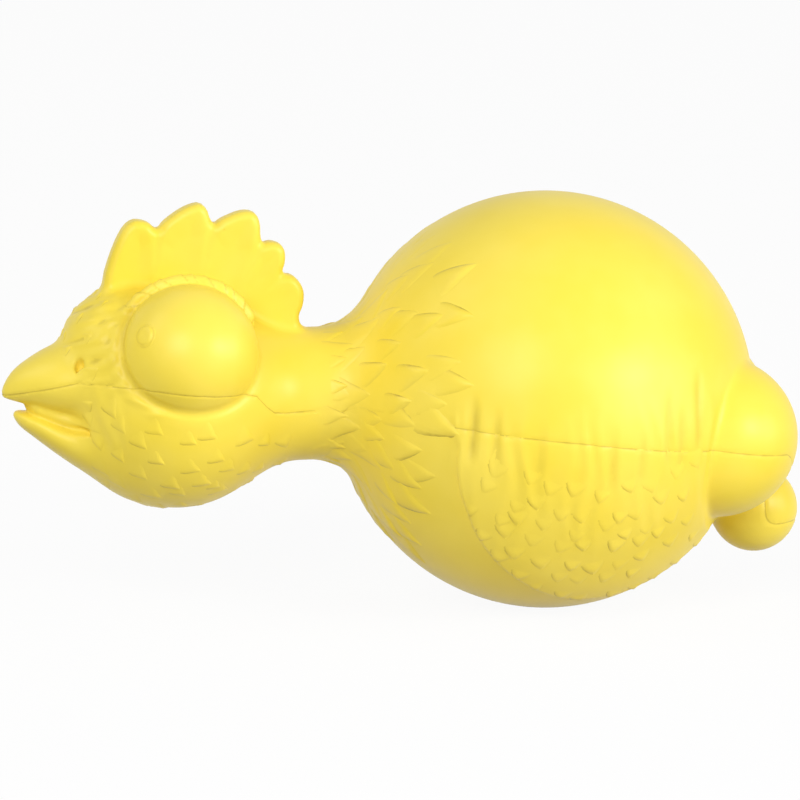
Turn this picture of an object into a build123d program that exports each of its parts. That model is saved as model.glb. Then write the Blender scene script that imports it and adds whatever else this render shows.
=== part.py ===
from build123d import *

import os
from math import atan2, cos, degrees, hypot, pi, radians, sin, sqrt

# Squeaky rubber chicken: a moulded rubber skin in two bonded halves, filled with wadding around a
# plastic bulb squeaker. Millimetres and degrees. The beak points along -X, the comb along +Z, and the
# toy is the same on both sides of Y = 0. The origin lies on the table, midway between beak and tail.
# Skin and filling are divided at the neck, where the soft rubber bends.

# ---- Driving sizes ----------------------------------------------------------------------------
# Body: one large ball with a small flat to stand on
BODY_R = 40.0
BELLY_FLAT_R = 5.0
SKIN_T = 3.0  # wall of the rubber skin
FILL_GAP = 0.3  # wadding to skin, and wadding to wadding

# Neck and head share one axis a little above the middle of the ball; lengths start at its surface
HEAD_RISE = 2.7
HEAD_OUT = 31.7  # to the middle of the skull
HEAD_R = 21.0
NAPE_ANGLE = 45.0  # where the neck leaves the skull, up from the axis
WAIST_OUT, WAIST_R = 6.0, 12.7  # the neck at its thinnest
FLARE_IN, FLARE_R = 6.5, 17.2  # where the neck runs out, inside the ball
FLARE_WAY = (1.0, 0.6)  # its direction there
BEND_FRONT_OUT = 10.0  # the soft ring of the neck starts here
BEND_REAR_IN = 1.0  # and ends here, inside the ball's surface

# Face, measured from the middle of the skull
EYE_R = 13.2
EYE_SPREAD = 12.0
EYE_RISE = 10.7
EYE_BACK = 1.3
PUPIL_R = 1.9
PUPIL_PROUD = 0.4
PUPIL_AHEAD, PUPIL_UP, PUPIL_OUT = 10.0, 5.2, 7.0  # the way that each eye looks
BROW_R = 14.0
BROW_AHEAD, BROW_RISE = 8.5, 8.4
NOSTRIL_R = 1.5
NOSTRIL_AHEAD, NOSTRIL_RISE, NOSTRIL_SPREAD = 19.7, 8.2, 8.4

# Beak, measured from the middle of the skull: reach, height, half width, half height
UPPER_BEAK = ((12.0, 4.0, 13.5, 9.0), (24.5, 4.2, 8.2, 6.4), (29.8, 2.8, 4.6, 3.4), (33.0, 1.5, 1.7, 1.3))
LOWER_BEAK = ((11.0, -9.0, 13.0, 9.0), (21.5, -6.8, 8.0, 4.4), (28.0, -3.6, 4.8, 2.6), (31.0, -2.6, 2.4, 1.3))
MOUTH_CORNER = (16.5, -4.8)  # reach and height of the corner of the mouth
MOUTH_FRONT = (31.0, 0.0)  # and of its front
MOUTH_GAP = 1.2

# Comb: a fin in the middle plane, from its front base over five lobes to the neck. Behind the middle
# of the skull and above the head axis, with the rounding of each corner.
COMB_T = 5.0
COMB_RIM = 1.5
COMB_ROOT = 8.0  # height of the hidden foot above the axis
COMB_OUTLINE = (
    (-14.0, COMB_ROOT, 0),
    (-13.9, 21.6, 0),
    (-8.6, 35.6, 3.4),
    (-3.6, 32.4, 0.6),
    (-2.4, 34.8, 1.5),
    (6.2, 38.2, 2.4),
    (7.2, 32.8, 0.6),
    (8.6, 34.6, 1.2),
    (16.6, 36.4, 2.4),
    (16.1, 29.2, 0.6),
    (21.2, 29.2, 2.0),
    (20.2, 23.2, 0.6),
    (24.8, 21.4, 1.8),
    (24.6, COMB_ROOT, 0),
)

# Hackle feathers: a cape of pointed tips round the front of the ball
HACKLE_RISE = 0.8
HACKLE_TIPS = 20
HACKLE_ANGLE = 55.6  # from the head axis to the tips, at the middle of the ball
HACKLE_LIFT = 2.4  # the tips on top reach that much further out, those below less
HACKLE_NOTCH = 8.0  # depth of the notch between two tips

# Wings: low pads that hang down from the middle of each side and fade out at the top. Each tip has
# a bearing, from straight down to the rear, and a spread, from straight out at the middle of the ball.
WING_INSET = 1.8  # the wing's own ball is that much smaller than the body
WING_OUT, WING_DOWN = 1.9, 2.5  # and lies that far from its middle
WING_NOTCH = 2.2
WING_TOP = ((-108.4, 39.2), (103.6, 58.1))  # front and rear corner
WING_TIPS = (
    (-84.2, 35.0),
    (-53.8, 39.4),
    (-34.2, 45.3),
    (-16.8, 51.1),
    (0.0, 58.2),
    (14.8, 61.6),
    (30.1, 63.7),
    (47.2, 66.9),
)

# Legs and tail: how deep they sink into the ball or stand off it, and the way out from its middle
LEG_R = 15.3
LEG_SINK = 5.45
LEG_SIDE_ANGLE, LEG_DOWN_ANGLE = 25.0, 9.33
TAIL_R = 8.0
TAIL_OUT = 6.6
TAIL_DOWN_ANGLE = 27.9

# Parting line of the two half skins, backwards and upwards from the middle of each form that it
# crosses; between the legs it drops to the middle of the tail
SEAM_SKULL = ((-48.3, 1.8), (-32.8, 1.8), (-20.3, 5.3), (-6.3, 5.3), (13.2, 3.3), (17.2, -1.2))
SEAM_BALL = ((-28.0, 2.0), (0.0, -1.0))
SEAM_LEG = ((12.5, -2.2), (13.5, -7.6), (40.0, -7.6))
SEAM_TAIL_AHEAD = 13.2  # start of the drop, ahead of the middle of the tail
SEAM_TAIL_MARGIN = 0.5  # and its room beside the tail

# Bulb squeaker, upright in the middle of the ball with the whistle down
BULB_R = 18.0
BULB_WALL = 0.8
CROWN_H = 7.0
CROWN_RIM_H = 1.5
FOLDS = 3
FOLD_DEPTH = 3.2
BELLOWS_FOLDED_H = 11.0  # the bellows when the bulb is squeezed
SHOULDER_H = 5.0
NOZZLE_H = 9.0
SQUEEZE = 9.0  # travel of the crown, down onto the folded bellows
POCKET_GAP = 0.4  # wadding to the squeaker

# Whistle
HOUSING_R = 5.6
HOUSING_WALL = 0.9
HOUSING_H = 11.0
FLANGE_R, FLANGE_T = 9.0, 1.2
OUTLET_R = 3.6
OUTLET_RECESS = 0.5  # mouth of the outlet above the flat of the belly
OUTLET_GAP = 0.1  # outlet to the hole in the skin
FIT = 0.05  # between plastic parts that are pushed together
GRILLE_T = 1.0
GRILLE_HOLES = 6
GRILLE_HOLE_R = 0.45
GRILLE_RING_R = 1.6
SEAT_H = 8.0
REED_W, REED_L, REED_T = 3.4, 7.0, 0.25
TROUGH_W, TROUGH_DEPTH, TROUGH_H = 2.4, 2.0, 5.0
CLIP_H = 2.0

# ---- Places worked out from the sizes -----------------------------------------------------------
FAR = 200.0  # reach of the blocks that cut the toy
BALL_TURN = 30.0  # turns the seam line of each sphere's surface out of the middle plane
SIDES = (-1, 1)
TAIL_BACK = (BODY_R + TAIL_OUT) * cos(radians(TAIL_DOWN_ANGLE))
BODY_X = (BODY_R + HEAD_OUT + UPPER_BEAK[-1][0] - TAIL_BACK - TAIL_R) / 2
BODY_Z = sqrt(BODY_R**2 - BELLY_FLAT_R**2)
AXIS_Z = BODY_Z + HEAD_RISE
HEAD_X = BODY_X - BODY_R - HEAD_OUT
BEND_FRONT_X = BODY_X - BODY_R - BEND_FRONT_OUT
BEND_REAR_X = BODY_X - BODY_R + BEND_REAR_IN
LEG_ROD = (BODY_R - LEG_SINK) * cos(radians(LEG_DOWN_ANGLE))
LEG_X = BODY_X + LEG_ROD * cos(radians(LEG_SIDE_ANGLE))
LEG_Y = LEG_ROD * sin(radians(LEG_SIDE_ANGLE))
LEG_Z = BODY_Z - (BODY_R - LEG_SINK) * sin(radians(LEG_DOWN_ANGLE))
TAIL_X = BODY_X + TAIL_BACK
TAIL_Z = BODY_Z - (BODY_R + TAIL_OUT) * sin(radians(TAIL_DOWN_ANGLE))

FLANGE_Z = BODY_Z - sqrt((BODY_R - SKIN_T) ** 2 - FLANGE_R**2) + FIT
HOUSING_Z = FLANGE_Z + FLANGE_T
NOZZLE_Z = HOUSING_Z + FIT
SHOULDER_Z = NOZZLE_Z + NOZZLE_H
BELLOWS_Z = SHOULDER_Z + SHOULDER_H
CROWN_Z = BELLOWS_Z + BELLOWS_FOLDED_H + SQUEEZE
BORE_R = HOUSING_R - HOUSING_WALL

os.makedirs("parts", exist_ok=True)


def export(piece, name):
    """Label a finished sub-part and write it as one STEP file."""
    piece.part.label = name
    export_step(piece.part, f"parts/{name}.step")


def ball(x, y, z, radius, mode=Mode.ADD):
    """A sphere in the sub-part that is being made, with its poles to the sides, clear of what joins it."""
    with Locations((x, y, z)):
        Sphere(radius, rotation=(90, 0, BALL_TURN), mode=mode)


# ---- Outer form of the toy ----------------------------------------------------------------------
def round_form(inset):
    """Ball, neck, skull, eyes, brow and legs in one, with the surface moved in by inset."""
    skull_r = HEAD_R - inset
    nape = (HEAD_X + skull_r * cos(radians(NAPE_ANGLE)), AXIS_Z + skull_r * sin(radians(NAPE_ANGLE)))
    waist = (BODY_X - BODY_R - WAIST_OUT, AXIS_Z + WAIST_R - inset)
    flare = (BODY_X - BODY_R + FLARE_IN, AXIS_Z + FLARE_R - inset)
    with BuildPart() as form:
        with BuildSketch(Plane.XZ):
            with BuildLine():
                skull = ThreePointArc((HEAD_X - skull_r, AXIS_Z), (HEAD_X, AXIS_Z + skull_r), nape)
                Spline(nape, waist, flare, tangents=[skull % 1, FLARE_WAY])
                Polyline(flare, (flare[0], AXIS_Z), skull @ 0)
            make_face()
        revolve(axis=Axis((0, 0, AXIS_Z), (1, 0, 0)))
        ball(BODY_X, 0, BODY_Z, BODY_R - inset)
        ball(HEAD_X - BROW_AHEAD, 0, AXIS_Z + BROW_RISE, BROW_R - inset)
        for side in SIDES:
            ball(HEAD_X + EYE_BACK, side * EYE_SPREAD, AXIS_Z + EYE_RISE, EYE_R - inset)
            ball(LEG_X, side * LEG_Y, LEG_Z, LEG_R - inset)
    return form.part


def beak_form(sections):
    """One half of the beak, lofted through upright ellipses that shrink towards the tip."""
    with BuildPart() as form:
        for reach, height, half_width, half_height in sections:
            with BuildSketch(Plane.YZ.offset(HEAD_X - reach)):
                with Locations((0, AXIS_Z + height)):
                    Ellipse(half_width, half_height)
        loft()
    return form.part


def comb_form():
    """The comb: a fin with five swept-back lobes and a rounded rim."""
    with BuildPart() as form:
        with BuildSketch(Plane.XZ) as outline:
            with BuildLine():
                Polyline([(HEAD_X + back, AXIS_Z + up) for back, up, _ in COMB_OUTLINE], close=True)
            make_face()
            for back, up, rounding in COMB_OUTLINE:
                if rounding:
                    corner = Vector(HEAD_X + back, AXIS_Z + up)
                    fillet(outline.vertices().sort_by_distance(corner)[0], rounding)
        extrude(amount=COMB_T / 2, both=True)
        rims = form.faces().filter_by(Axis.Y).edges()
        fillet(rims, COMB_RIM)
    return form.part


def pupil_form(side):
    """The small raised disc on one eye."""
    eye = Vector(HEAD_X + EYE_BACK, side * EYE_SPREAD, AXIS_Z + EYE_RISE)
    gaze = Vector(-PUPIL_AHEAD, side * PUPIL_OUT, PUPIL_UP).normalized()
    with BuildPart() as form:
        with BuildSketch(Plane(eye, z_dir=gaze)):
            Circle(PUPIL_R)
        extrude(amount=EYE_R + PUPIL_PROUD)
    return form.part


def hackle_form():
    """The cape of pointed neck feathers, as a thin cap on the front of the ball."""
    tip_r = BODY_R * sin(radians(HACKLE_ANGLE))
    with BuildPart() as form:
        ball(BODY_X, 0, BODY_Z, BODY_R + HACKLE_RISE)
        with BuildSketch(Plane.YZ.offset(BODY_X)):
            with BuildLine():
                points = []
                for step in range(2 * HACKLE_TIPS):
                    roll = pi * step / HACKLE_TIPS
                    reach = tip_r + HACKLE_LIFT * cos(roll) - HACKLE_NOTCH * (step % 2)
                    points.append((reach * sin(roll), AXIS_Z + reach * cos(roll)))
                Polyline(points, close=True)
            make_face()
        extrude(amount=-FAR, mode=Mode.INTERSECT)
    return form.part


def on_side(bearing, spread):
    """Back and up from the middle of the ball, as seen from the side, of a place on its surface."""
    out = BODY_R * sin(radians(spread))
    return out * sin(radians(bearing)), -out * cos(radians(bearing))


def wing_form(side):
    """One wing: a slice of its own ball, cut to a feathered outline."""
    front_top, rear_top = (on_side(*corner) for corner in WING_TOP)
    tips = [on_side(*tip) for tip in WING_TIPS]
    outline = [front_top]
    for (x0, z0), (x1, z1) in zip(tips, tips[1:]):
        middle_x, middle_z = (x0 + x1) / 2, (z0 + z1) / 2
        inward = 1 - WING_NOTCH / hypot(middle_x, middle_z)
        outline += [(x0, z0), (inward * middle_x, inward * middle_z)]
    outline += [tips[-1], rear_top]
    with BuildPart() as form:
        ball(BODY_X, side * WING_OUT, BODY_Z - WING_DOWN, BODY_R - WING_INSET)
        with BuildSketch(Plane.XZ):
            with BuildLine():
                Polyline([(BODY_X + back, BODY_Z + up) for back, up in outline], close=True)
            make_face()
        extrude(amount=-side * FAR, mode=Mode.INTERSECT)
    return form.part


def mouth_form():
    """The slot between the two halves of the beak."""
    (corner_reach, corner_up), (front_reach, front_up) = MOUTH_CORNER, MOUTH_FRONT
    slope = degrees(atan2(corner_up - front_up, front_reach - corner_reach))
    corner = Location((HEAD_X - corner_reach, 0, AXIS_Z + corner_up), (0, -slope, 0))
    with BuildPart() as form:
        with BuildSketch(Plane(corner)):
            Rectangle(FAR, FAR, align=(Align.MAX, Align.CENTER))
        extrude(amount=MOUTH_GAP / 2, both=True)
    return form.part


def above_seam():
    """Everything above the parting line."""
    line = [(HEAD_X + back, AXIS_Z + up) for back, up in SEAM_SKULL]
    line += [(BODY_X + back, BODY_Z + up) for back, up in SEAM_BALL]
    line += [(LEG_X + back, LEG_Z + up) for back, up in SEAM_LEG]
    with BuildPart() as form:
        with BuildSketch(Plane.XZ):
            with BuildLine():
                Polyline(line + [(line[-1][0], FAR), (line[0][0], FAR)], close=True)
            make_face()
        extrude(amount=FAR, both=True)
        with Locations((TAIL_X - SEAM_TAIL_AHEAD, 0, TAIL_Z)):
            Box(FAR, 2 * (TAIL_R + SEAM_TAIL_MARGIN), BODY_R, align=(Align.MIN, Align.CENTER, Align.MIN))
    return form.part


def keep(upper, front=None, rear=None):
    """Cut the sub-part that is being made to one side of the parting line, between two planes."""
    add(upper_half, mode=Mode.INTERSECT if upper else Mode.SUBTRACT)
    if front is not None:
        split(bisect_by=Plane.YZ.offset(front), keep=Keep.TOP)
    if rear is not None:
        split(bisect_by=Plane.YZ.offset(rear), keep=Keep.BOTTOM)


upper_half = above_seam()

with BuildPart() as skin:
    add(round_form(0))
    ball(TAIL_X, 0, TAIL_Z, TAIL_R)
    add(beak_form(UPPER_BEAK))
    add(beak_form(LOWER_BEAK))
    add(comb_form())
    add(hackle_form())
    for side in SIDES:
        add(wing_form(side))
        add(pupil_form(side))
        ball(HEAD_X - NOSTRIL_AHEAD, side * NOSTRIL_SPREAD, AXIS_Z + NOSTRIL_RISE, NOSTRIL_R, Mode.SUBTRACT)
    split(bisect_by=Plane.XY, keep=Keep.TOP)
    add(mouth_form(), mode=Mode.SUBTRACT)
    add(round_form(SKIN_T), mode=Mode.SUBTRACT)

# ---- Skin: two bonded halves, divided again where the neck bends -----------------------------------
with BuildPart() as head_upper_skin:
    add(skin.part)
    keep(upper=True, rear=BEND_FRONT_X)
export(head_upper_skin, "head_upper_skin")

with BuildPart() as head_lower_skin:
    add(skin.part)
    keep(upper=False, rear=BEND_FRONT_X)
export(head_lower_skin, "head_lower_skin")

with BuildPart() as neck_upper_skin:
    add(skin.part)
    keep(upper=True, front=BEND_FRONT_X, rear=BEND_REAR_X)
export(neck_upper_skin, "neck_upper_skin")

with BuildPart() as neck_lower_skin:
    add(skin.part)
    keep(upper=False, front=BEND_FRONT_X, rear=BEND_REAR_X)
export(neck_lower_skin, "neck_lower_skin")

with BuildPart() as body_upper_skin:
    add(skin.part)
    keep(upper=True, front=BEND_REAR_X)
export(body_upper_skin, "body_upper_skin")

with BuildPart() as body_lower_skin:
    add(skin.part)
    keep(upper=False, front=BEND_REAR_X)
    with Locations((BODY_X, 0, 0)):
        Cylinder(OUTLET_R + OUTLET_GAP, FAR, mode=Mode.SUBTRACT)
export(body_lower_skin, "body_lower_skin")


# ---- Squeaker: bulb ------------------------------------------------------------------------------
def revolve_outline(points):
    """Turn a closed outline of (radius, height) about the squeaker's axis."""
    with BuildPart() as form:
        with BuildSketch(Plane.XZ):
            with BuildLine():
                Polyline([(BODY_X + radius, height) for radius, height in points], close=True)
            make_face()
        revolve(axis=Axis((BODY_X, 0, 0), (0, 0, 1)))
    return form.part


def bellows_line(radius, low, high):
    """Zigzag of the folds from low to high, outwards at both ends."""
    step = (high - low) / (2 * FOLDS)
    return [(radius - FOLD_DEPTH * (fold % 2), low + fold * step) for fold in range(2 * FOLDS + 1)]


with BuildPart() as bulb_base:
    add(revolve_outline([
        (HOUSING_R + FIT, NOZZLE_Z),
        (HOUSING_R + FIT + BULB_WALL, NOZZLE_Z),
        (HOUSING_R + FIT + BULB_WALL, SHOULDER_Z),
        (BULB_R, BELLOWS_Z - BULB_WALL),
        (BULB_R, BELLOWS_Z),
        (BULB_R - BULB_WALL, BELLOWS_Z),
        (HOUSING_R + FIT, SHOULDER_Z + BULB_WALL),
    ]))
export(bulb_base, "bulb_base")

with BuildPart() as bulb_bellows:
    outside = bellows_line(BULB_R, BELLOWS_Z, CROWN_Z)
    inside = bellows_line(BULB_R - BULB_WALL, BELLOWS_Z, CROWN_Z)
    add(revolve_outline(outside + inside[::-1]))
export(bulb_bellows, "bulb_bellows")

with BuildPart() as bulb_crown:
    dome_r = (BULB_R**2 + CROWN_H**2) / (2 * CROWN_H)
    with BuildSketch(Plane.XZ):
        with BuildLine():
            rim = (BODY_X + BULB_R, CROWN_Z + CROWN_RIM_H)
            top = (BODY_X, CROWN_Z + CROWN_RIM_H + CROWN_H)
            RadiusArc(rim, top, -dome_r)
            Polyline(top, (BODY_X, top[1] - BULB_WALL))
            RadiusArc((BODY_X, top[1] - BULB_WALL), (BODY_X + BULB_R - BULB_WALL, rim[1]), dome_r)
            Polyline(
                (BODY_X + BULB_R - BULB_WALL, rim[1]),
                (BODY_X + BULB_R - BULB_WALL, CROWN_Z),
                (BODY_X + BULB_R, CROWN_Z),
                rim,
            )
        make_face()
    revolve(axis=Axis((BODY_X, 0, 0), (0, 0, 1)))
export(bulb_crown, "bulb_crown")

# ---- Squeaker: whistle -----------------------------------------------------------------------------
SEAT_Z = HOUSING_Z + HOUSING_H - SEAT_H

with BuildPart() as whistle_housing:
    add(revolve_outline([
        (OUTLET_R - HOUSING_WALL, OUTLET_RECESS),
        (OUTLET_R, OUTLET_RECESS),
        (OUTLET_R, FLANGE_Z),
        (FLANGE_R, FLANGE_Z),
        (FLANGE_R, HOUSING_Z),
        (HOUSING_R, HOUSING_Z),
        (HOUSING_R, HOUSING_Z + HOUSING_H),
        (BORE_R, HOUSING_Z + HOUSING_H),
        (BORE_R, SEAT_Z),
        (OUTLET_R - HOUSING_WALL, SEAT_Z),
    ]))
export(whistle_housing, "whistle_housing")

with BuildPart() as whistle_grille:
    with BuildSketch(Plane.XY.offset(OUTLET_RECESS)):
        with Locations((BODY_X, 0)):
            Circle(OUTLET_R - HOUSING_WALL - FIT)
            with PolarLocations(GRILLE_RING_R, GRILLE_HOLES):
                Circle(GRILLE_HOLE_R, mode=Mode.SUBTRACT)
    extrude(amount=GRILLE_T)
export(whistle_grille, "whistle_grille")

# The reed lies over a trough in the flat of a half-round plug and is wedged at its top end
with BuildPart() as reed_seat:
    with BuildSketch(Plane.XY.offset(SEAT_Z)):
        with Locations((BODY_X, 0)):
            Circle(BORE_R - FIT)
            Rectangle(FAR, FAR, align=(Align.MIN, Align.CENTER), mode=Mode.SUBTRACT)
    extrude(amount=SEAT_H)
    with Locations((BODY_X, 0, SEAT_Z)):
        Box(2 * TROUGH_DEPTH, TROUGH_W, 2 * TROUGH_H, mode=Mode.SUBTRACT)
export(reed_seat, "reed_seat")

REED_Z = SEAT_Z + SEAT_H - REED_L
REED_X = BODY_X + FIT

with BuildPart() as reed:
    with Locations((REED_X, 0, REED_Z)):
        Box(REED_T, REED_W, REED_L, align=(Align.MIN, Align.CENTER, Align.MIN))
export(reed, "reed")

with BuildPart() as reed_clip:
    with BuildSketch(Plane.XY.offset(SEAT_Z + SEAT_H - CLIP_H)):
        with Locations((BODY_X, 0)):
            Circle(BORE_R - FIT)
        with Locations((REED_X + REED_T + FIT, 0)):
            Rectangle(FAR, FAR, align=(Align.MAX, Align.CENTER), mode=Mode.SUBTRACT)
    extrude(amount=CLIP_H)
export(reed_clip, "reed_clip")


# ---- Wadding ---------------------------------------------------------------------------------------
def pocket_form():
    """The room for the squeaker, from the belly to the crown."""
    wide = BULB_R + POCKET_GAP
    narrow = HOUSING_R + FIT + BULB_WALL + POCKET_GAP
    flange_top = HOUSING_Z + POCKET_GAP
    crown_top = CROWN_Z + CROWN_RIM_H
    return revolve_outline([
        (0, 0),
        (FLANGE_R + POCKET_GAP, 0),
        (FLANGE_R + POCKET_GAP, flange_top),
        (narrow, flange_top),
        (narrow, SHOULDER_Z - BULB_WALL),
        (wide, BELLOWS_Z - 2 * BULB_WALL),
        (wide, crown_top + POCKET_GAP),
        (wide / 2, crown_top + CROWN_H + POCKET_GAP),
        (0, crown_top + CROWN_H + POCKET_GAP),
    ])


with BuildPart() as filling:
    add(round_form(SKIN_T + FILL_GAP))
    add(pocket_form(), mode=Mode.SUBTRACT)

with BuildPart() as head_wadding:
    add(filling.part)
    split(bisect_by=Plane.YZ.offset(BEND_FRONT_X - FILL_GAP / 2), keep=Keep.BOTTOM)
export(head_wadding, "head_wadding")

with BuildPart() as neck_wadding:
    add(filling.part)
    split(bisect_by=Plane.YZ.offset(BEND_FRONT_X + FILL_GAP / 2), keep=Keep.TOP)
    split(bisect_by=Plane.YZ.offset(BEND_REAR_X - FILL_GAP / 2), keep=Keep.BOTTOM)
export(neck_wadding, "neck_wadding")

with BuildPart() as body_lower_wadding:
    add(filling.part)
    split(bisect_by=Plane.YZ.offset(BEND_REAR_X + FILL_GAP / 2), keep=Keep.TOP)
    split(bisect_by=Plane.XY.offset(BODY_Z), keep=Keep.BOTTOM)
export(body_lower_wadding, "body_lower_wadding")

with BuildPart() as body_upper_wadding:
    add(filling.part)
    split(bisect_by=Plane.YZ.offset(BEND_REAR_X + FILL_GAP / 2), keep=Keep.TOP)
    split(bisect_by=Plane.XY.offset(BODY_Z + FILL_GAP), keep=Keep.TOP)
export(body_upper_wadding, "body_upper_wadding")
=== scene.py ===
import math

import bmesh
import bpy
import numpy as np
from mathutils import Matrix, Vector


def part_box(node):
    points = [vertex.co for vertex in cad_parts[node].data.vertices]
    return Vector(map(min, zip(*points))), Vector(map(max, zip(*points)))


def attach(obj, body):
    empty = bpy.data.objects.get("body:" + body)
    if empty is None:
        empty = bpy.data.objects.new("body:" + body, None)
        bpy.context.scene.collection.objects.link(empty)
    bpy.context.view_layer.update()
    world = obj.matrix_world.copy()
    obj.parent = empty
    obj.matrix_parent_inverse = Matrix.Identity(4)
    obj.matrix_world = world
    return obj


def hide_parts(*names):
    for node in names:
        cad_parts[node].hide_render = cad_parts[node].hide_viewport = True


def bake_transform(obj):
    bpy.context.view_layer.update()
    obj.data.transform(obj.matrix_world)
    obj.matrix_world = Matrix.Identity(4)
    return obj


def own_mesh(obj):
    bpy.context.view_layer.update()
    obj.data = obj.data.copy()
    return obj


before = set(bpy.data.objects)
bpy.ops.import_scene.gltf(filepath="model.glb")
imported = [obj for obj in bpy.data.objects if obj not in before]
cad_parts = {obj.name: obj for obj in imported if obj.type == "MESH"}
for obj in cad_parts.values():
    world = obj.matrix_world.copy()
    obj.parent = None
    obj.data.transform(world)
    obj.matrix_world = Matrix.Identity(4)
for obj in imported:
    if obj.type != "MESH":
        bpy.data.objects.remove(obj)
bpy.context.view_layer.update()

# Squeaky rubber chicken: a thick moulded rubber skin in two bonded halves, wadding, and a bulb squeaker.
# Sizes are in millimetres, and places are measured from the middle of the ball-shaped body: x backwards,
# y to the toy's right, z up. MM turns a size into metres.
MM = 0.001

# ---- Sizes of the toy ----------------------------------------------------------------------------
BODY_R = 40.0
BELLY_FLAT_R = 5.0
SKIN_T = 3.0
HEAD_RISE = 2.7  # the neck's axis above the middle of the ball
HEAD_X = -71.7
HEAD_R = 21.0
NECK_R = 12.7
EYE_R = 13.2
EYE_BACK, EYE_SPREAD, EYE_RISE = 0.7, 12.0, 10.7
SOCKET_W, SOCKET_DEPTH = 0.75, 0.45  # the crease round each eye
SOCKET_RIM_W, SOCKET_RIM_RISE = 2.2, 0.35  # the raised edge in front of each eye
LID_W, LID_RISE = 3.0, 0.15  # the lower lid
BROW_RING, BROW_SPREAD, BROW_TUBE = 13.5, 8.5, 1.15  # the band over each eye: its radius, place and thickness
BROW_STROKE, BROW_PITCH = 0.3, 2.6  # the fine scales on it
WRINKLE, WRINKLE_PITCH = 0.24, 2.4  # the lumpy folds between beak and eye
BROW_R, BROW_AHEAD, BROW_RISE = 14.0, 8.5, 8.4  # the round forehead
PUPIL_R, PUPIL_RISE = 1.9, 0.45
GAZE = (-9.5, 7.4, 5.2)  # the way that each eye looks, mirrored
NOSTRIL_AHEAD, NOSTRIL_RISE, NOSTRIL_SPREAD = 19.7, 8.2, 8.6
NOSTRIL = (HEAD_X - NOSTRIL_AHEAD, NOSTRIL_SPREAD, HEAD_RISE + NOSTRIL_RISE)
NOSTRIL_LONG, NOSTRIL_WIDE, NOSTRIL_HIGH = 0.9, 1.0, 1.4  # its half sizes

# Fillets: neck into ball, forehead into skull, head into neck, eye, band over the eye, comb and beak
NECK_FILLET, BROW_FILLET, HEAD_FILLET, EYE_FILLET = 7.0, 3.0, 6.0, 0.9
BAND_FILLET, COMB_FILLET, BEAK_FILLET = 0.8, 1.6, 2.0

# Beak, from the middle of the skull: reach, height, half width, half height
UPPER_BEAK = ((6.0, 4.0, 15.0, 10.5), (12.0, 4.0, 13.5, 9.0), (18.0, 4.4, 11.0, 7.8), (24.4, 4.3, 8.2, 6.2),
              (28.3, 4.0, 5.7, 4.4), (30.2, 3.6, 4.3, 3.5), (31.6, 3.1, 3.1, 2.7), (32.7, 2.5, 1.9, 1.7),
              (33.3, 2.1, 0.9, 0.8), (33.5, 2.0, 0.2, 0.2))
LOWER_BEAK = ((6.0, -9.6, 14.0, 10.0), (11.0, -9.0, 13.0, 9.0), (16.0, -8.0, 10.9, 6.9), (21.5, -6.8, 8.0, 4.4),
              (28.0, -3.6, 4.8, 2.6), (29.6, -3.0, 3.6, 1.9), (30.6, -2.6, 2.2, 1.2), (31.1, -2.4, 1.0, 0.55),
              (31.3, -2.3, 0.2, 0.15))
MOUTH_CORNER, MOUTH_FRONT = (16.5, -4.8), (31.0, 0.0)
MOUTH_GAP, MOUTH_LIP, MOUTH_DEPTH = 0.8, 1.2, 1.5
MOUTH_EDGE, FLOOR_FILLET = 0.45, 0.9
MOUTH_FLOOR = ((8.0, -5.0, 9.0, 3.0), (16.5, -4.6, 7.8, 3.0), (21.5, -3.1, 6.0, 2.8), (25.5, -1.8, 4.3, 2.4),
               (28.0, -0.9, 2.6, 1.5), (29.0, -0.6, 0.4, 0.4))

# Comb: back from the middle of the skull and up from its axis, round the five lobes
COMB_T, COMB_RIM = 5.0, 1.6  # thickness, and how round its edge is
COMB_DISH = 0.55  # hollow of each lobe below its rim
COMB_GROOVES = (((-3.6, 32.8), (-4.4, 24.5)), ((7.0, 33.4), (4.6, 24.5)), ((16.3, 29.6), (12.8, 23.6)),
                ((20.3, 23.6), (16.4, 19.8)))
COMB_OUTLINE = ((-14.0, 4.0), (-14.6, 21.6), (-12.0, 30.0), (-9.2, 34.8), (-5.6, 34.6), (-3.6, 32.6), (-2.2, 34.4),
                (2.0, 37.2), (5.6, 37.8), (7.0, 33.2), (9.0, 34.6), (13.4, 36.2), (16.2, 35.0), (16.3, 29.4),
                (18.4, 30.0), (20.8, 29.0), (21.2, 26.2), (20.3, 23.5), (22.8, 23.2), (24.7, 20.6), (24.6, 17.4),
                (23.4, 15.0), (24.6, 12.4), (26.0, 4.0))

LEG_R = 15.3
LEG = (30.9, 14.4, -5.6)
LEG_FILLET = 0.9
TAIL_R = 8.4
TAIL = (40.9, 0.0, -22.6)
TAIL_FILLET = 2.8  # closes the narrow gap between the tail and each leg

# Parting line of the two half skins: x and height
SEAM = ((-120, 4.5), (-104.5, 4.5), (-92, 8), (-78, 8), (-61, 6.3), (-58.7, 5.6), (-56.4, 3.1), (-54.9, 1.9),
        (-52.5, 1.5), (-28, 2), (0, -1), (42.6, -7.7), (43.6, -8.6), (44.3, -10.4), (44.8, -12.2), (46.2, -13.2),
        (70, -13.2))
SEAM_DEPTH = 0.12
SEAM_ROUND, SEAM_REACH = 2.0, 3.0  # how round its corners are, and how far off it is still measured
STEP_FRONT, STEP_HALF, STEP_FOOT = 34.0, 8.1, -18.8  # between the legs: front, half width and foot of its step down
TAIL_LINE_BACK, TAIL_LINE_DOWN = 0.6, 2.0  # on the tail: behind its middle, and below it
TAIL_LINE_TOP, TAIL_LINE_HALF = -16.2, 9.5

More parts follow.
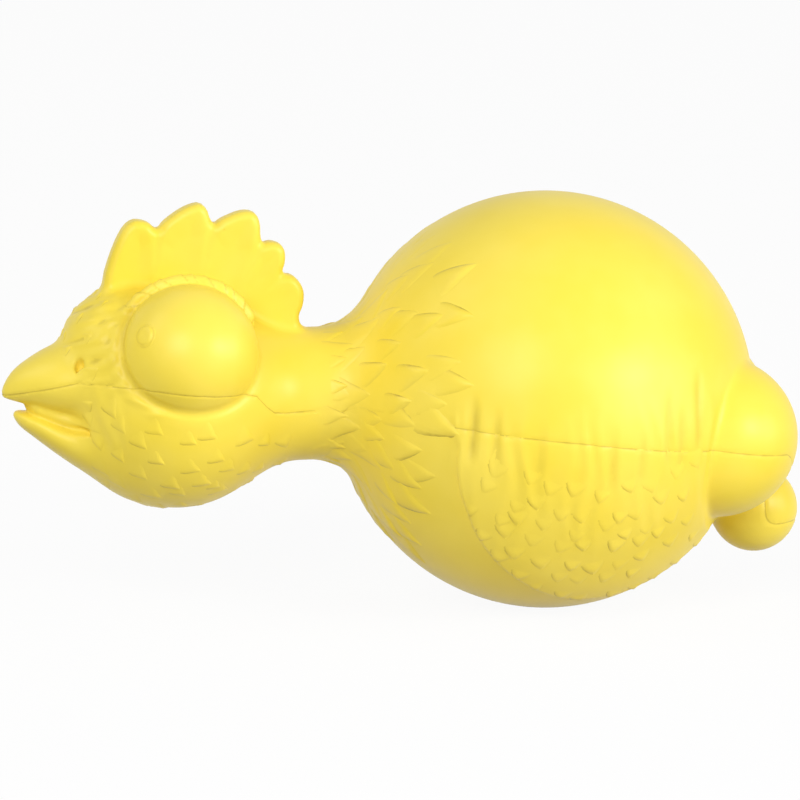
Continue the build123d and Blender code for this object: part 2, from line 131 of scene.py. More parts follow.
# Wings: bearing from straight down to the rear, and spread from the middle of the side, in degrees
WING_EDGE = ((-180, 20), (-120, 34), (-108, 38), (-84, 35), (-54, 39.5), (-34, 45.3), (-17, 51), (0, 58), (15, 61.5),
             (30, 63.5), (47, 66.5), (80, 64), (104, 58), (130, 40), (180, 20))
WING_FINGER, FINGER_PITCH = 0.14, 3.7  # the soft upright folds on it
WING_RISE, WING_STAND = 0.7, 0.6  # over the ball, and how much more the wing stands off at its lower front edge
# Upright grooves of a wing: x, lowest and highest place, and depth
WING_GROOVES = ((-20.5, -6, 9, 0.55), (-16.4, -9, 7, 0.4), (-8.2, -9, 4, 0.25), (5.5, -12, 3, 0.3),
                (11.3, -11, 3, 0.25), (16.8, -8, 10, 0.3), (19.6, -10, 6, 0.3), (23.2, -6, 12, 0.35))
WING_ROWS, WING_PITCH = (-12.5, -16.5, -20.4, -24.2, -27.8, -31.2), 5.0  # heights of its rows of feathers

# Hackle rows: angle of the tips from the head axis, feathers in the row, and their size
HACKLE_ROWS = ((63.5, 20, 1.0), (55.5, 20, 0.95), (46.5, 16, 0.95), (39.5, 16, 0.9), (32.0, 12, 0.85), (25.5, 12, 0.8),
               (19.0, 9, 0.75))

# Where the neck bends: the cut between the pieces
NECK_CUT = -46.0

# Squeaker bulb, and where the filling of the ball ends
BEND_REAR = -38.8
BELLOWS_FOLDS, BELLOWS_FOLD_DEPTH, BULB_WALL = 3, 3.2, 0.8

# The middle of the ball in the shared frame
BALL = np.array([sum(c[0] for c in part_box("bulb_crown")) / 2 / MM, 0.0, math.sqrt(BODY_R**2 - BELLY_FLAT_R**2)])


# ---- Moulded forms: distance fields and the surface that they enclose ------------------------------
def smooth_min(a, b, fillet):
    """Join two forms with a fillet."""
    h = np.clip(0.5 + 0.5 * (b - a) / fillet, 0, 1)
    return b + (a - b) * h - fillet * h * (1 - h)


def step_up(low, high, value):
    """0 below low, 1 above high, smooth between."""
    t = np.clip((value - low) / (high - low), 0, 1)
    return t * t * (3 - 2 * t)


def curve_through(value, at, sizes):
    """A smooth curve through a list of sizes, flat beyond its ends."""
    at, sizes = np.array(at, dtype=float), np.array(sizes, dtype=float)
    slopes = np.gradient(sizes, at)
    value = np.clip(value, at[0], at[-1])
    i = np.clip(np.searchsorted(at, value, side="right") - 1, 0, len(at) - 2)
    span = at[i + 1] - at[i]
    t = (value - at[i]) / span
    ends = (1 + 2 * t) * (1 - t) ** 2 * sizes[i] + t * t * (3 - 2 * t) * sizes[i + 1]
    return ends + span * (t * (1 - t) ** 2 * slopes[i] - t * t * (1 - t) * slopes[i + 1])


def ball(x, y, z, centre, r):
    """Distance to a ball."""
    return np.sqrt((x - centre[0]) ** 2 + (y - centre[1]) ** 2 + (z - centre[2]) ** 2) - r


def neck(x, y, z):
    """Distance to the neck, a round bar from the skull into the ball."""
    along = np.clip(x, HEAD_X, -BODY_R / 2)
    return np.sqrt((x - along) ** 2 + y**2 + (z - HEAD_RISE) ** 2) - NECK_R


def eye(side):
    """The middle of the eye on one side, -1 or 1."""
    return HEAD_X + EYE_BACK, side * EYE_SPREAD, HEAD_RISE + EYE_RISE


def leg(x, y, z, side):
    """Distance to a leg."""
    return ball(x, y, z, (LEG[0], side * LEG[1], LEG[2]), LEG_R)


def form_without_eyes(x, y, z):
    """Ball, neck, legs, skull and forehead in one."""
    form = smooth_min(ball(x, y, z, (0, 0, 0), BODY_R), neck(x, y, z), NECK_FILLET)
    for side in (-1, 1):
        form = smooth_min(form, leg(x, y, z, side), LEG_FILLET)
    skull = ball(x, y, z, (HEAD_X, 0, HEAD_RISE), HEAD_R)
    brow = ball(x, y, z, (HEAD_X - BROW_AHEAD, 0, HEAD_RISE + BROW_RISE), BROW_R)
    return smooth_min(form, smooth_min(skull, brow, BROW_FILLET), HEAD_FILLET)


def round_form(x, y, z):
    """Ball, neck, skull, brow, eyes and legs in one."""
    form = form_without_eyes(x, y, z)
    for side in (-1, 1):
        form = smooth_min(form, ball(x, y, z, eye(side), EYE_R), EYE_FILLET)
    return form


def hollow_form(x, y, z):
    """The round form with the tail: what the skin's inner wall follows."""
    return smooth_min(round_form(x, y, z), ball(x, y, z, TAIL, TAIL_R), TAIL_FILLET)


def beak(x, y, z, sections):
    """Half of the beak: upright ellipses that follow one another forwards."""
    reach = HEAD_X - x
    at, up, wide, high = zip(*sections)
    up, wide, high = (curve_through(reach, at, sizes) for sizes in (up, wide, high))
    ring = (np.sqrt((y / wide) ** 2 + ((z - HEAD_RISE - up) / high) ** 2) - 1) * np.minimum(wide, high)
    return np.maximum(ring, np.maximum(reach - at[-1], at[0] - reach))


def rounded(outline, rounds):
    """Cut the corners of a closed outline."""
    points = np.array(outline, dtype=float)
    for _ in range(rounds):
        after = np.roll(points, -1, axis=0)
        points = np.stack([0.75 * points + 0.25 * after, 0.25 * points + 0.75 * after], axis=1).reshape(-1, 2)
    return points


def outline_distance(x, z, points):
    """Distance to a closed outline in the middle plane, negative inside."""
    nearest = np.full(np.broadcast(x, z).shape, 1e9, dtype=np.float32)
    inside = np.zeros(nearest.shape, dtype=bool)
    for (ax, az), (bx, bz) in zip(points, np.roll(points, -1, axis=0)):
        ex, ez = bx - ax, bz - az
        t = np.clip(((x - ax) * ex + (z - az) * ez) / (ex * ex + ez * ez), 0, 1)
        nearest = np.minimum(nearest, (x - ax - t * ex) ** 2 + (z - az - t * ez) ** 2)
        crosses = (az > z) != (bz > z)
        with np.errstate(divide="ignore", invalid="ignore"):
            inside ^= crosses & (x < ax + (z - az) * ex / (ez if ez else 1e-9))
    return np.where(inside, -1, 1) * np.sqrt(nearest)


COMB_POINTS = rounded([(HEAD_X + back, HEAD_RISE + up) for back, up in COMB_OUTLINE], 2)


def comb(x, y, z):
    """A fin of five lobes, each hollowed a little below its thick rounded rim."""
    edge = outline_distance(x, z, COMB_POINTS)
    groove = np.full(edge.shape, 99.0, dtype=np.float32)
    for (ax, az), (bx, bz) in COMB_GROOVES:
        px, pz, ex, ez = x - HEAD_X - ax, z - HEAD_RISE - az, bx - ax, bz - az
        t = np.clip((px * ex + pz * ez) / (ex * ex + ez * ez), 0, 1)
        groove = np.minimum(groove, np.sqrt((px - t * ex) ** 2 + (pz - t * ez) ** 2) + 1.4 * t)
    upper = step_up(HEAD_RISE + 14, HEAD_RISE + 27, z)
    dish = COMB_DISH * upper * step_up(0.8, 5.6, np.minimum(-edge, groove + 1.0))
    half = COMB_T / 2 - dish - 0.4 * np.exp(-((groove / 1.2) ** 2))
    out, over = edge + COMB_RIM, np.abs(y) - half + COMB_RIM
    corner = np.sqrt(np.maximum(out, 0) ** 2 + np.maximum(over, 0) ** 2)
    return np.minimum(np.maximum(out, over), 0) + corner - COMB_RIM


def mouth(x, y, z, depth):
    """The groove between the halves of the beak, closed inside. It opens down to a flat lip, and parts the tips."""
    (corner, corner_up), (front, front_up) = MOUTH_CORNER, MOUTH_FRONT
    reach = HEAD_X - x
    line = HEAD_RISE + corner_up + (front_up - corner_up) * (reach - corner) / (front - corner)
    lip = MOUTH_LIP * step_up(-MOUTH_DEPTH, 0.3, depth) * step_up(corner, corner + 4, reach)
    slot = np.maximum(z - line - MOUTH_GAP / 2, line - MOUTH_GAP / 2 - lip - z)
    deep = MOUTH_DEPTH * step_up(corner - 2, corner + 3, reach) + 5 * step_up(27, 30, reach)
    return np.maximum(np.maximum(slot, corner - reach), -depth - deep)


def brow_band(x, y, z, side):
    """The raised band over an eye, under the comb; it runs out in front of the eye and behind it."""
    ex, _, ez = eye(side)
    turn = np.degrees(np.arctan2(z - ez, x - ex))  # 0 to the rear, 90 straight up
    tube = BROW_TUBE * (1.9 * step_up(2, 30, turn) * (1 - step_up(140, 172, turn)) - 0.9)
    return np.sqrt((np.sqrt((x - ex) ** 2 + (z - ez) ** 2) - BROW_RING) ** 2 + (y - side * BROW_SPREAD) ** 2) - tube


def skin_form(x, y, z):
    """The whole outside of the toy, with its face, comb and tail."""
    form = smooth_min(round_form(x, y, z), comb(x, y, z), COMB_FILLET)
    for side in (-1, 1):
        form = smooth_min(form, brow_band(x, y, z, side), BAND_FILLET)
    for sections in (UPPER_BEAK, LOWER_BEAK):
        form = smooth_min(form, beak(x, y, z, sections), BEAK_FILLET)
    form = smooth_min(form, ball(x, y, z, TAIL, TAIL_R), TAIL_FILLET)
    form = -smooth_min(-form, mouth(x, y, z, form), MOUTH_EDGE)
    form = smooth_min(form, beak(x, y, z, MOUTH_FLOOR), FLOOR_FILLET)
    for side in (-1, 1):
        nostril = ((x - NOSTRIL[0]) / NOSTRIL_LONG) ** 2 + ((y - side * NOSTRIL[1]) / NOSTRIL_WIDE) ** 2
        nostril = (np.sqrt(nostril + ((z - NOSTRIL[2]) / NOSTRIL_HIGH) ** 2) - 1) * NOSTRIL_LONG
        form = -smooth_min(-form, nostril, NOSTRIL_LONG)
    return np.maximum(form, -z - BALL[2])


def gradient(field, p, reach=0.05):
    """The slope of a field at points."""
    steps = []
    for axis in range(3):
        a, b = p.copy(), p.copy()
        a[:, axis] -= reach
        b[:, axis] += reach
        steps.append((field(*b.T) - field(*a.T)) / (2 * reach))
    return np.stack(steps, axis=1)


def unit(vectors):
    """The same ways, one long."""
    return vectors / np.maximum(np.linalg.norm(vectors, axis=1), 1e-6)[:, None]


def settle(field, p, level=0.0, rounds=3, limit=0.5):
    """Move points onto a level of a field."""
    for _ in range(rounds):
        slope = gradient(field, p)
        value = (field(*p.T) - level) / np.maximum((slope**2).sum(axis=1), 0.05)
        p = p - np.clip(value, -limit, limit)[:, None] * slope
    return p


def surface(field, low, high, grid):
    """Points and outward triangles of a field's zero surface, one point for each crossed cell of the grid."""
    axes = [np.arange(a, b + grid, grid, dtype=np.float32) for a, b in zip(low, high)]
    f = field(axes[0][:, None, None], axes[1][None, :, None], axes[2][None, None, :])
    inside = f < 0
    corners = [(i, j, k) for i in (0, 1) for j in (0, 1) for k in (0, 1)]
    shape = [n - 1 for n in f.shape]
    count = np.zeros(shape, dtype=np.uint8)
    for i, j, k in corners:
        count += inside[i:i + shape[0], j:j + shape[1], k:k + shape[2]]
    mixed = (count > 0) & (count < 8)
    number = np.full(shape, -1, dtype=np.int64)
    cells = np.argwhere(mixed)
    number[mixed] = np.arange(len(cells))
    total, hits = np.zeros((len(cells), 3)), np.zeros(len(cells))
    for a in corners:
        for axis in range(3):
            if a[axis] == 0:
                b = tuple(c + (axis == n) for n, c in enumerate(a))
                fa, fb = f[tuple((cells + a).T)], f[tuple((cells + b).T)]
                crossed = (fa < 0) != (fb < 0)
                t = np.where(crossed, fa / np.where(crossed, fa - fb, 1), 0)
                place = np.array(a, dtype=float) + t[:, None] * np.eye(3)[axis]
                total += place * crossed[:, None]
                hits += crossed
    points = np.array(low) + (cells + total / hits[:, None]) * grid
    quads = []
    for axis in range(3):
        u, v = (axis + 1) % 3, (axis + 2) % 3
        after = np.take(inside, range(1, f.shape[axis]), axis=axis)
        before = np.take(inside, range(f.shape[axis] - 1), axis=axis)
        edges = np.argwhere(before != after)
        for across in (u, v):
            edges = edges[(edges[:, across] > 0) & (edges[:, across] < f.shape[across] - 1)]
        leaving = before[tuple(edges.T)]
        ring = []
        for du, dv in ((-1, -1), (0, -1), (0, 0), (-1, 0)):
            cell = edges.copy()
            cell[:, u] += du
            cell[:, v] += dv
            ring.append(number[tuple(cell.T)])
        quad = np.stack(ring, axis=1)
        quads.append(np.where(leaving[:, None], quad, quad[:, ::-1]))
    quads = np.concatenate(quads)
    one = np.linalg.norm(points[quads[:, 0]] - points[quads[:, 2]], axis=1)
    two = np.linalg.norm(points[quads[:, 1]] - points[quads[:, 3]], axis=1)
    turned = np.where((one <= two)[:, None], quads, np.roll(quads, -1, axis=1))
    return points, np.concatenate([turned[:, [0, 1, 2]], turned[:, [0, 2, 3]]])


def add_object(name, data):
    """A new object in the scene, at the origin."""
    obj = bpy.data.objects.new(name, data)
    bpy.context.scene.collection.objects.link(obj)
    return obj


def mesh_object(name, points, faces, material):
    """A piece from points in millimetres round the middle of the ball, and faces of three corners."""
    mesh = bpy.data.meshes.new(name)
    mesh.from_pydata(((np.asarray(points) + BALL) * MM).tolist(), [], faces.tolist())
    mesh.update()
    mesh.shade_smooth()
    mesh.materials.append(material)
    return add_object(name, mesh)


# ---- Materials -------------------------------------------------------------------------------------
def colour(text):
    """sRGB hex to linear."""
    value = [int(text[i:i + 2], 16) / 255 for i in (1, 3, 5)]
    return tuple(c / 12.92 if c <= 0.04045 else ((c + 0.055) / 1.055) ** 2.4 for c in value) + (1.0,)


def node(tree, kind, **settings):
    """Add a node. A setting with a capital letter is an input by its name, and one like _2 an input by its number: a
    value, or another node's output to link to it. curve and ramp are points and shades, and the rest properties."""
    made = tree.nodes.new(kind)
    for key, value in sorted(settings.items(), key=lambda setting: not setting[0][0].islower()):
        if key == "curve":
            points = made.mapping.curves[0].points
            points[0].location, points[-1].location = value[0], value[-1]
            for point in value[1:-1]:
                points.new(*point)
            made.mapping.update()
        elif key == "ramp":
            for stop, (at, shade) in zip(made.color_ramp.elements, value):
                stop.position, stop.color = at, colour(shade)
        elif key[0].islower():
            setattr(made, key, value)
        else:
            socket = made.inputs[int(key[1:]) if key[0] == "_" else key.replace("_", " ")]
            if isinstance(value, bpy.types.NodeSocket):
                tree.links.new(value, socket)
            else:
                socket.default_value = value
    return made


def new_material(name):
    """An empty node material and its tree."""
    material = bpy.data.materials.new(name)
    material.use_nodes = True
    material.node_tree.nodes.clear()
    return material, material.node_tree


def rubber_material():
    """Soft moulded latex rubber, dyed through: satin, with faint clouding of the dye, a fine grained skin, a darker
    line along its parting line, and painted shade in its creases and along one edge of each moulded feather."""
    material, tree = new_material("moulded_yellow_rubber")
    place = node(tree, "ShaderNodeTexCoord").outputs["Object"]
    clouds = node(tree, "ShaderNodeTexNoise", Vector=place, Scale=45.0, Detail=3.0, Roughness=0.55)
    dye = node(tree, "ShaderNodeValToRGB", Fac=clouds.outputs["Fac"], ramp=((0.35, "#F7DD46"), (0.68, "#FBE35A")))
    # the lines come and go with the patches, which are about 2 mm across
    patches = node(tree, "ShaderNodeTexNoise", Vector=place, Scale=420.0, Detail=2.0).outputs["Fac"]
    seam = node(tree, "ShaderNodeAttribute", attribute_name="seam").outputs["Fac"]
    seam = node(tree, "ShaderNodeMath", operation="MULTIPLY_ADD", _0=patches, _1=0.3, _2=seam)
    line = node(tree, "ShaderNodeMapRange", interpolation_type="SMOOTHSTEP", _0=seam.outputs[0],
                _1=0.92, _2=1.16, _4=0.38)
    # painted shade: this attribute darkens creases, grooves and the edge of each feather that faces away from the light
    crease = node(tree, "ShaderNodeAttribute", attribute_name="crease").outputs["Fac"]
    share = node(tree, "ShaderNodeMath", operation="ADD", _0=patches, _1=0.35)
    crease = node(tree, "ShaderNodeMath", operation="MULTIPLY", _0=crease, _1=share.outputs[0])
    seam_line_and_shade = node(tree, "ShaderNodeMath", operation="MAXIMUM", _0=crease.outputs[0], _1=line.outputs[0])
    # 8F7420 is the painted shade in the creases, and the colour of the dark parting line
    dye_with_shade = node(tree, "ShaderNodeMix", data_type="RGBA", _0=seam_line_and_shade.outputs[0], _6=dye.outputs[0], _7=colour("#8F7420"))
    grain = node(tree, "ShaderNodeTexNoise", Vector=place, Scale=2600.0, Detail=2.0)
    bump = node(tree, "ShaderNodeBump", Height=grain.outputs["Fac"], Strength=0.05, Distance=0.0001)
    shader = node(tree, "ShaderNodeBsdfPrincipled", Base_Color=dye_with_shade.outputs[2], Normal=bump.outputs["Normal"],
                  Roughness=0.38, IOR=1.5, Specular_IOR_Level=0.28)
    node(tree, "ShaderNodeOutputMaterial", Surface=shader.outputs["BSDF"])
    return material


RUBBER = rubber_material()

# ---- Skin ------------------------------------------------------------------------------------------
SEAM_X, SEAM_Z = (np.array(c, dtype=float) for c in zip(*SEAM))


def above_seam(x, y, z):
    """How far a place is above the parting line, which steps down between the legs to the tail, and round its rear."""
    between_legs = smooth_min(x - STEP_FRONT, STEP_HALF - np.abs(y), SEAM_ROUND)
    between_legs = smooth_min(between_legs, z - STEP_FOOT, SEAM_ROUND)
    tail_rear = smooth_min(x - TAIL[0] - TAIL_LINE_BACK, z - TAIL[2] + TAIL_LINE_DOWN, SEAM_REACH)
    tail_rear = np.minimum(tail_rear, np.minimum(TAIL_LINE_TOP - z, TAIL_LINE_HALF - np.abs(y)))
    step = np.minimum(np.maximum(between_legs, tail_rear), SEAM_REACH)
    return -smooth_min(np.interp(x, SEAM_X, SEAM_Z) - z, -step, SEAM_ROUND)


def edges_of(faces):
    """Every edge of the triangles once, with the number of faces at it."""
    pairs = np.concatenate([faces[:, [i, (i + 1) % 3]] for i in range(3)])
    size = faces.max() + 1
    key = pairs.min(axis=1).astype(np.int64) * size + pairs.max(axis=1)
    _, first, count = np.unique(key, return_index=True, return_counts=True)
    return pairs[first], count


def loose_faces(faces, chosen):
    """Those of the chosen triangles that hang apart from their main part."""
    part = faces[chosen]
    label = np.arange(faces.max() + 1)
    while True:
        lowest = label.copy()
        np.minimum.at(lowest, part.ravel(), np.repeat(label[part].min(axis=1), 3))
        lowest = lowest[lowest]
        if (lowest == label).all():
            break
        label = lowest
    group = label[part[:, 0]]
    loose = chosen.copy()
    loose[chosen] = group != np.bincount(group).argmax()
    return loose


def part_along(p, faces, side):
    """Move the nearest points onto a dividing line, so that no triangle crosses it, and tell which they are."""
    def on_divide(q):
        slope = gradient(side, q)
        return q - (side(*q.T) / np.maximum((slope**2).sum(axis=1), 1.0))[:, None] * slope

    value = side(*p.T) / np.maximum(np.linalg.norm(gradient(side, p), axis=1), 1.0)
    pairs, _ = edges_of(faces)
    a, b = pairs.T
    crossed = value[a] * value[b] < 0
    a, b = a[crossed], b[crossed]
    on_line = np.zeros(len(p), dtype=bool)
    on_line[np.where(np.abs(value[a]) < np.abs(value[b]), a, b)] = True
    part = p[on_line]
    for _ in range(6):
        part = settle(skin_form, on_divide(part), rounds=1)
    p[on_line] = on_divide(part)
    return on_line


def skin_half(name, p, faces, marks):
    """One closed piece of the skin: outside, inner wall and rim."""
    used, where = np.unique(faces, return_inverse=True)
    faces = where.reshape(faces.shape)
    outside = p[used]
    inside = settle(hollow_form, outside.copy(), level=-SKIN_T, rounds=14, limit=4.0)
    pairs, count = edges_of(faces)
    rim = pairs[count == 1]
    n = len(used)
    walls = np.concatenate([np.stack([rim[:, 1], rim[:, 0], rim[:, 0] + n], axis=1),
                            np.stack([rim[:, 1], rim[:, 0] + n, rim[:, 1] + n], axis=1)])
    faces = np.concatenate([faces, faces[:, ::-1] + n, walls])
    obj = mesh_object(name, np.concatenate([outside, inside]), faces, RUBBER)
    for label, values in marks.items():
        values = np.tile(values[used], 2).astype(np.float32)
        obj.data.attributes.new(label, "FLOAT", "POINT").data.foreach_set("value", values)
    ends = np.empty(2 * len(obj.data.edges), dtype=np.int32)
    obj.data.edges.foreach_get("vertices", ends)
    ends = np.sort(ends.reshape(-1, 2), axis=1).astype(np.int64)
    rims = np.sort(np.concatenate([rim, rim + n]), axis=1)
    sharp = np.isin(ends[:, 0] * 2 * n + ends[:, 1], rims[:, 0] * 2 * n + rims[:, 1])
    obj.data.attributes.new("sharp_edge", "BOOLEAN", "EDGE").data.foreach_set("value", sharp)
    return obj


def wing_reach(bearing):
    """How far the wing spreads from the middle of its side, in degrees, at a bearing from straight down to the rear."""
    return np.interp(bearing, *zip(*WING_EDGE))


def on_wing(x, y, z):
    """Bearing and spread of places on the ball, in degrees."""
    r = np.sqrt(x * x + y * y + z * z)
    return np.degrees(np.arctan2(x, -z)), np.degrees(np.arccos(np.clip(np.abs(y) / r, 0, 1)))


def eye_relief(x, y, z, side, beside):
    """Crease, raised edge, lower lid and scaled band round one eye, with painted shade in the crease and at the step
    of each scale; beside is the distance to the face.
    """
    ex, ey, ez = eye(side)
    away = np.sqrt((x - ex) ** 2 + (y - ey) ** 2 + (z - ez) ** 2) - EYE_R
    near = (y * side > 0) & (away < 6) & (x < -50) & (z > -12)
    turn = np.degrees(np.arctan2(-(z - ez), x - ex))  # 0 to the rear, 90 straight down, -90 straight up
    front = step_up(95, 145, np.abs(turn))
    above = step_up(8, 50, -turn) * (1 - step_up(172, 180, -turn))
    below = step_up(5, 45, turn)
    groove = np.exp(-((np.maximum(away, 0) ** 2 + np.maximum(beside, 0) ** 2) / SOCKET_W**2))
    groove *= (0.1 + 0.3 * below + 0.45 * above + 0.5 * front).clip(0, 1)
    rim = step_up(0.5, 1.3, away) * (1 - step_up(1.5, SOCKET_RIM_W + 0.8, away)) * front
    lid = step_up(0.4, 1.2, away) * (1 - step_up(LID_W - 1.5, LID_W + 0.8, away)) * below * (1 - front)
    band = 1 - step_up(0.1, 0.7, brow_band(x, y, z, side))
    across = np.sqrt((x - ex) ** 2 + (z - ez) ** 2) - BROW_RING
    phase = math.radians(1) * turn * EYE_R / BROW_PITCH + 0.32 * across + 0.2 * np.sin(0.9 * x)
    phase = phase - np.floor(phase)  # each scale rises slowly and ends in a small step
    scale_step_shade = band * np.exp(-(((phase - 0.93) / 0.07) ** 2))
    band = BROW_STROKE * band * (phase * (1 - step_up(0.85, 1.0, phase)) - 0.3)
    strokes = 0.6 + 0.4 * np.cos(2 * np.pi * (z + 0.5 * y) / 3.4 + 0.8 * np.sin(x))
    rise = SOCKET_RIM_RISE * rim * strokes * (1 - 0.6 * above) + LID_RISE * lid + band - SOCKET_DEPTH * groove
    # the second value is painted shade in the eye's crease and at the step of each scale
    return np.where(near, rise, 0), np.where(near, 0.5 * groove**2 + 0.32 * scale_step_shade, 0)


def fold_relief(x, y, z):
    """Folds over the forehead and cheeks, with painted shade in their valleys, and a mould mark at the root of the
    neck.
    """
    # lumpy folds from the root of the beak up over the forehead and back to the eyes
    phase = 2 * np.pi / WRINKLE_PITCH * (0.8 * z - 0.55 * x + 0.5 * np.sin(0.7 * y + 0.9 * x) + 0.35 * np.sin(1.3 * z))
    fold = np.cos(phase) * (0.55 + 0.45 * np.sin(0.8 * x + 1.2 * z + y))
    part = step_up(-95, -90, x) * (1 - step_up(-85, -82, x)) * step_up(6, 10, z) * (1 - step_up(22, 26, z))
    part *= step_up(0.8, 2.6, ball(x, np.abs(y), z, eye(1), EYE_R)) * step_up(0.3, 2.0, comb(x, y, z))
    part *= step_up(0.5, 2.5, ball(x, np.abs(y), z, NOSTRIL, NOSTRIL_HIGH))
    # the second value is painted shade in the valleys of the folds
    rise, crease = WRINKLE * fold * part, 0.35 * part * step_up(0.6, 1.0, -fold)
    # soft upright folds below the parting line, between the mouth and the eye
    fold = np.cos(2 * np.pi * (x + 0.25 * z + 0.4 * np.sin(0.5 * z)) / 2.9)
    fold *= step_up(-92, -89, x) * (1 - step_up(-86, -83, x))
    rise += 0.1 * fold * step_up(-7, -3, z) * (1 - step_up(5, 9, z)) * (np.abs(y) > 8)
    # a short mould mark where the neck runs into the ball
    mark = np.exp(-(((x + 23.3) / 0.5) ** 2))
    return rise + 0.22 * mark * step_up(-9, -6, z) * (1 - step_up(2, 5, z)) * (np.abs(y) > 20), crease


def wing_relief(x, y, z):
    """The low pad of each wing, with soft fingers and upright grooves in it, and painted shade in the grooves."""
    bearing, spread = on_wing(x, y, z)
    on_ball = 1 - step_up(0.1, 1.2, np.sqrt(x * x + y * y + z * z) - BODY_R)
    on_ball *= step_up(-0.1, 2.5, np.minimum(leg(x, y, z, -1), leg(x, y, z, 1)))
    within = wing_reach(bearing) - spread
    front = (1 - step_up(12, 50, bearing)) * step_up(-110, -80, bearing)
    finger = np.cos(2 * np.pi * (x + 0.7 * np.sin(0.31 * z + 0.4 * x) + 0.5 * np.sin(0.23 * x)) / FINGER_PITCH)
    finger *= WING_FINGER * (0.6 + 0.4 * np.sin(0.5 * x + 1.0)) * (1 - step_up(-3, 9, z)) * step_up(-26, -12, z)
    stand = WING_STAND * (1 - step_up(1, 24, within)) * front * (1 - step_up(-9, 3, z))
    pad = finger * step_up(0, 4, within) + WING_RISE * (1 - step_up(-6, 8, z)) + stand
    pad = pad * step_up(-0.4, 1.2, within) * on_ball
    crease = np.zeros(len(x))
    for at, bottom, top, depth in WING_GROOVES:
        lean = at + 0.05 * (z + 5)
        groove = np.exp(-(((x - lean) / 0.8) ** 2)) * step_up(bottom, bottom + 4, z) * (1 - step_up(top - 7, top, z))
        groove *= depth * (np.abs(y) > 22)
        pad -= groove
        # painted shade in the groove
        crease += 0.5 * groove
    outer = (x > -30) & (np.abs(y) > 4)
    return np.where(outer, pad, 0), np.where(outer, crease, 0)


def relief(p):
    """How far the moulded relief rises over the plain form at each place, and how much painted shade it gets
    from lying in a crease.
    """
    x, y, z = p.T
    beside = np.minimum(form_without_eyes(x, y, z), comb(x, y, z))
    parts = [eye_relief(x, y, z, side, beside) for side in (-1, 1)] + [fold_relief(x, y, z), wing_relief(x, y, z)]
    return sum(rise for rise, _ in parts), sum(crease for _, crease in parts)


SKIN_GRIDS = ((0.62, 0.39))  # of the body, and of the head with its finer forms


def make_skin():
    """The two halves of the skin, each cut across the neck where it bends."""
    pieces = {}
    grid_body, grid_head = SKIN_GRIDS
    for part, low, high, grid in (
        ("body", (NECK_CUT - 2.5 * grid_body, -42.5, -41.5), (52, 42.5, 42), grid_body),
        ("head", (NECK_CUT - (round(61 / grid_head) + 0.5) * grid_head, -27, -21), (NECK_CUT + 1.5, 27, 43),
         grid_head),
    ):
        p, faces = surface(skin_form, low, high, grid)
        p = settle(skin_form, p)
        cut = part_along(p, faces, lambda x, y, z: x - NECK_CUT)
        seam = part_along(p, faces, above_seam)
        p[seam & cut, 0] = NECK_CUT
        middle = p[faces].mean(axis=1)
        keep = middle[:, 0] > NECK_CUT if part == "body" else middle[:, 0] < NECK_CUT
        faces, middle = faces[keep], middle[keep]
        upper = above_seam(*middle.T) > 0
        upper[loose_faces(faces, upper)] = False
        upper[loose_faces(faces, ~upper)] = True
        slope = unit(gradient(skin_form, p))
        rise, crease = relief(p)
        # seam marks the parting line; the second mark is painted shade in the creases
        marks = {"seam": np.clip(1 - np.abs(above_seam(*p.T)), 0, 1), "crease": crease}
        p += (rise - SEAM_DEPTH * seam)[:, None] * slope
        for half, choose in (("upper", upper), ("lower", ~upper)):
            pieces[part, half] = skin_half(f"rubber_{part}_{half}", p, faces[choose], marks)
    return pieces


def bend_with_neck(piece):
    """Bake the place of a piece of skin or filling into its points."""
    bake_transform(piece)


skin = make_skin()
for part in ("body", "head"):
    for half in ("upper", "lower"):
        piece = skin[part, half]
        bend_with_neck(piece)
        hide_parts(*([f"body_{half}_skin", f"neck_{half}_skin"] if part == "body" else [f"head_{half}_skin"]))

# ---- Moulded feathers ------------------------------------------------------------------------------
# Half width of a feather, and how far it stands up, from its root to its tip
HACKLE_BLADE = (((0, 0.7), (0.3, 0.95), (0.48, 1.0), (0.6, 0.86), (1, 0.0)),
                ((0, 0.0), (0.35, 0.1), (0.6, 0.55), (0.8, 1.0), (1, 1.0)))
WING_BLADE = (((0, 0.9), (0.4, 1.0), (0.66, 0.84), (0.86, 0.46), (1, 0.0)),
              ((0, 0.0), (0.38, 0.02), (0.66, 0.4), (0.9, 1.0), (1, 1.0)))
SCALE_BLADE = (((0, 0.6), (0.4, 1.0), (0.58, 0.92), (0.8, 0.5), (1, 0.0)),
               ((0, 0.0), (0.4, 0.08), (0.65, 0.5), (0.86, 1.0), (1, 1.0)))
ACROSS = ((0, 0), (0.25, 0.34), (0.5, 0.64), (0.75, 0.87), (1, 1))  # points lie closer at a feather's edges


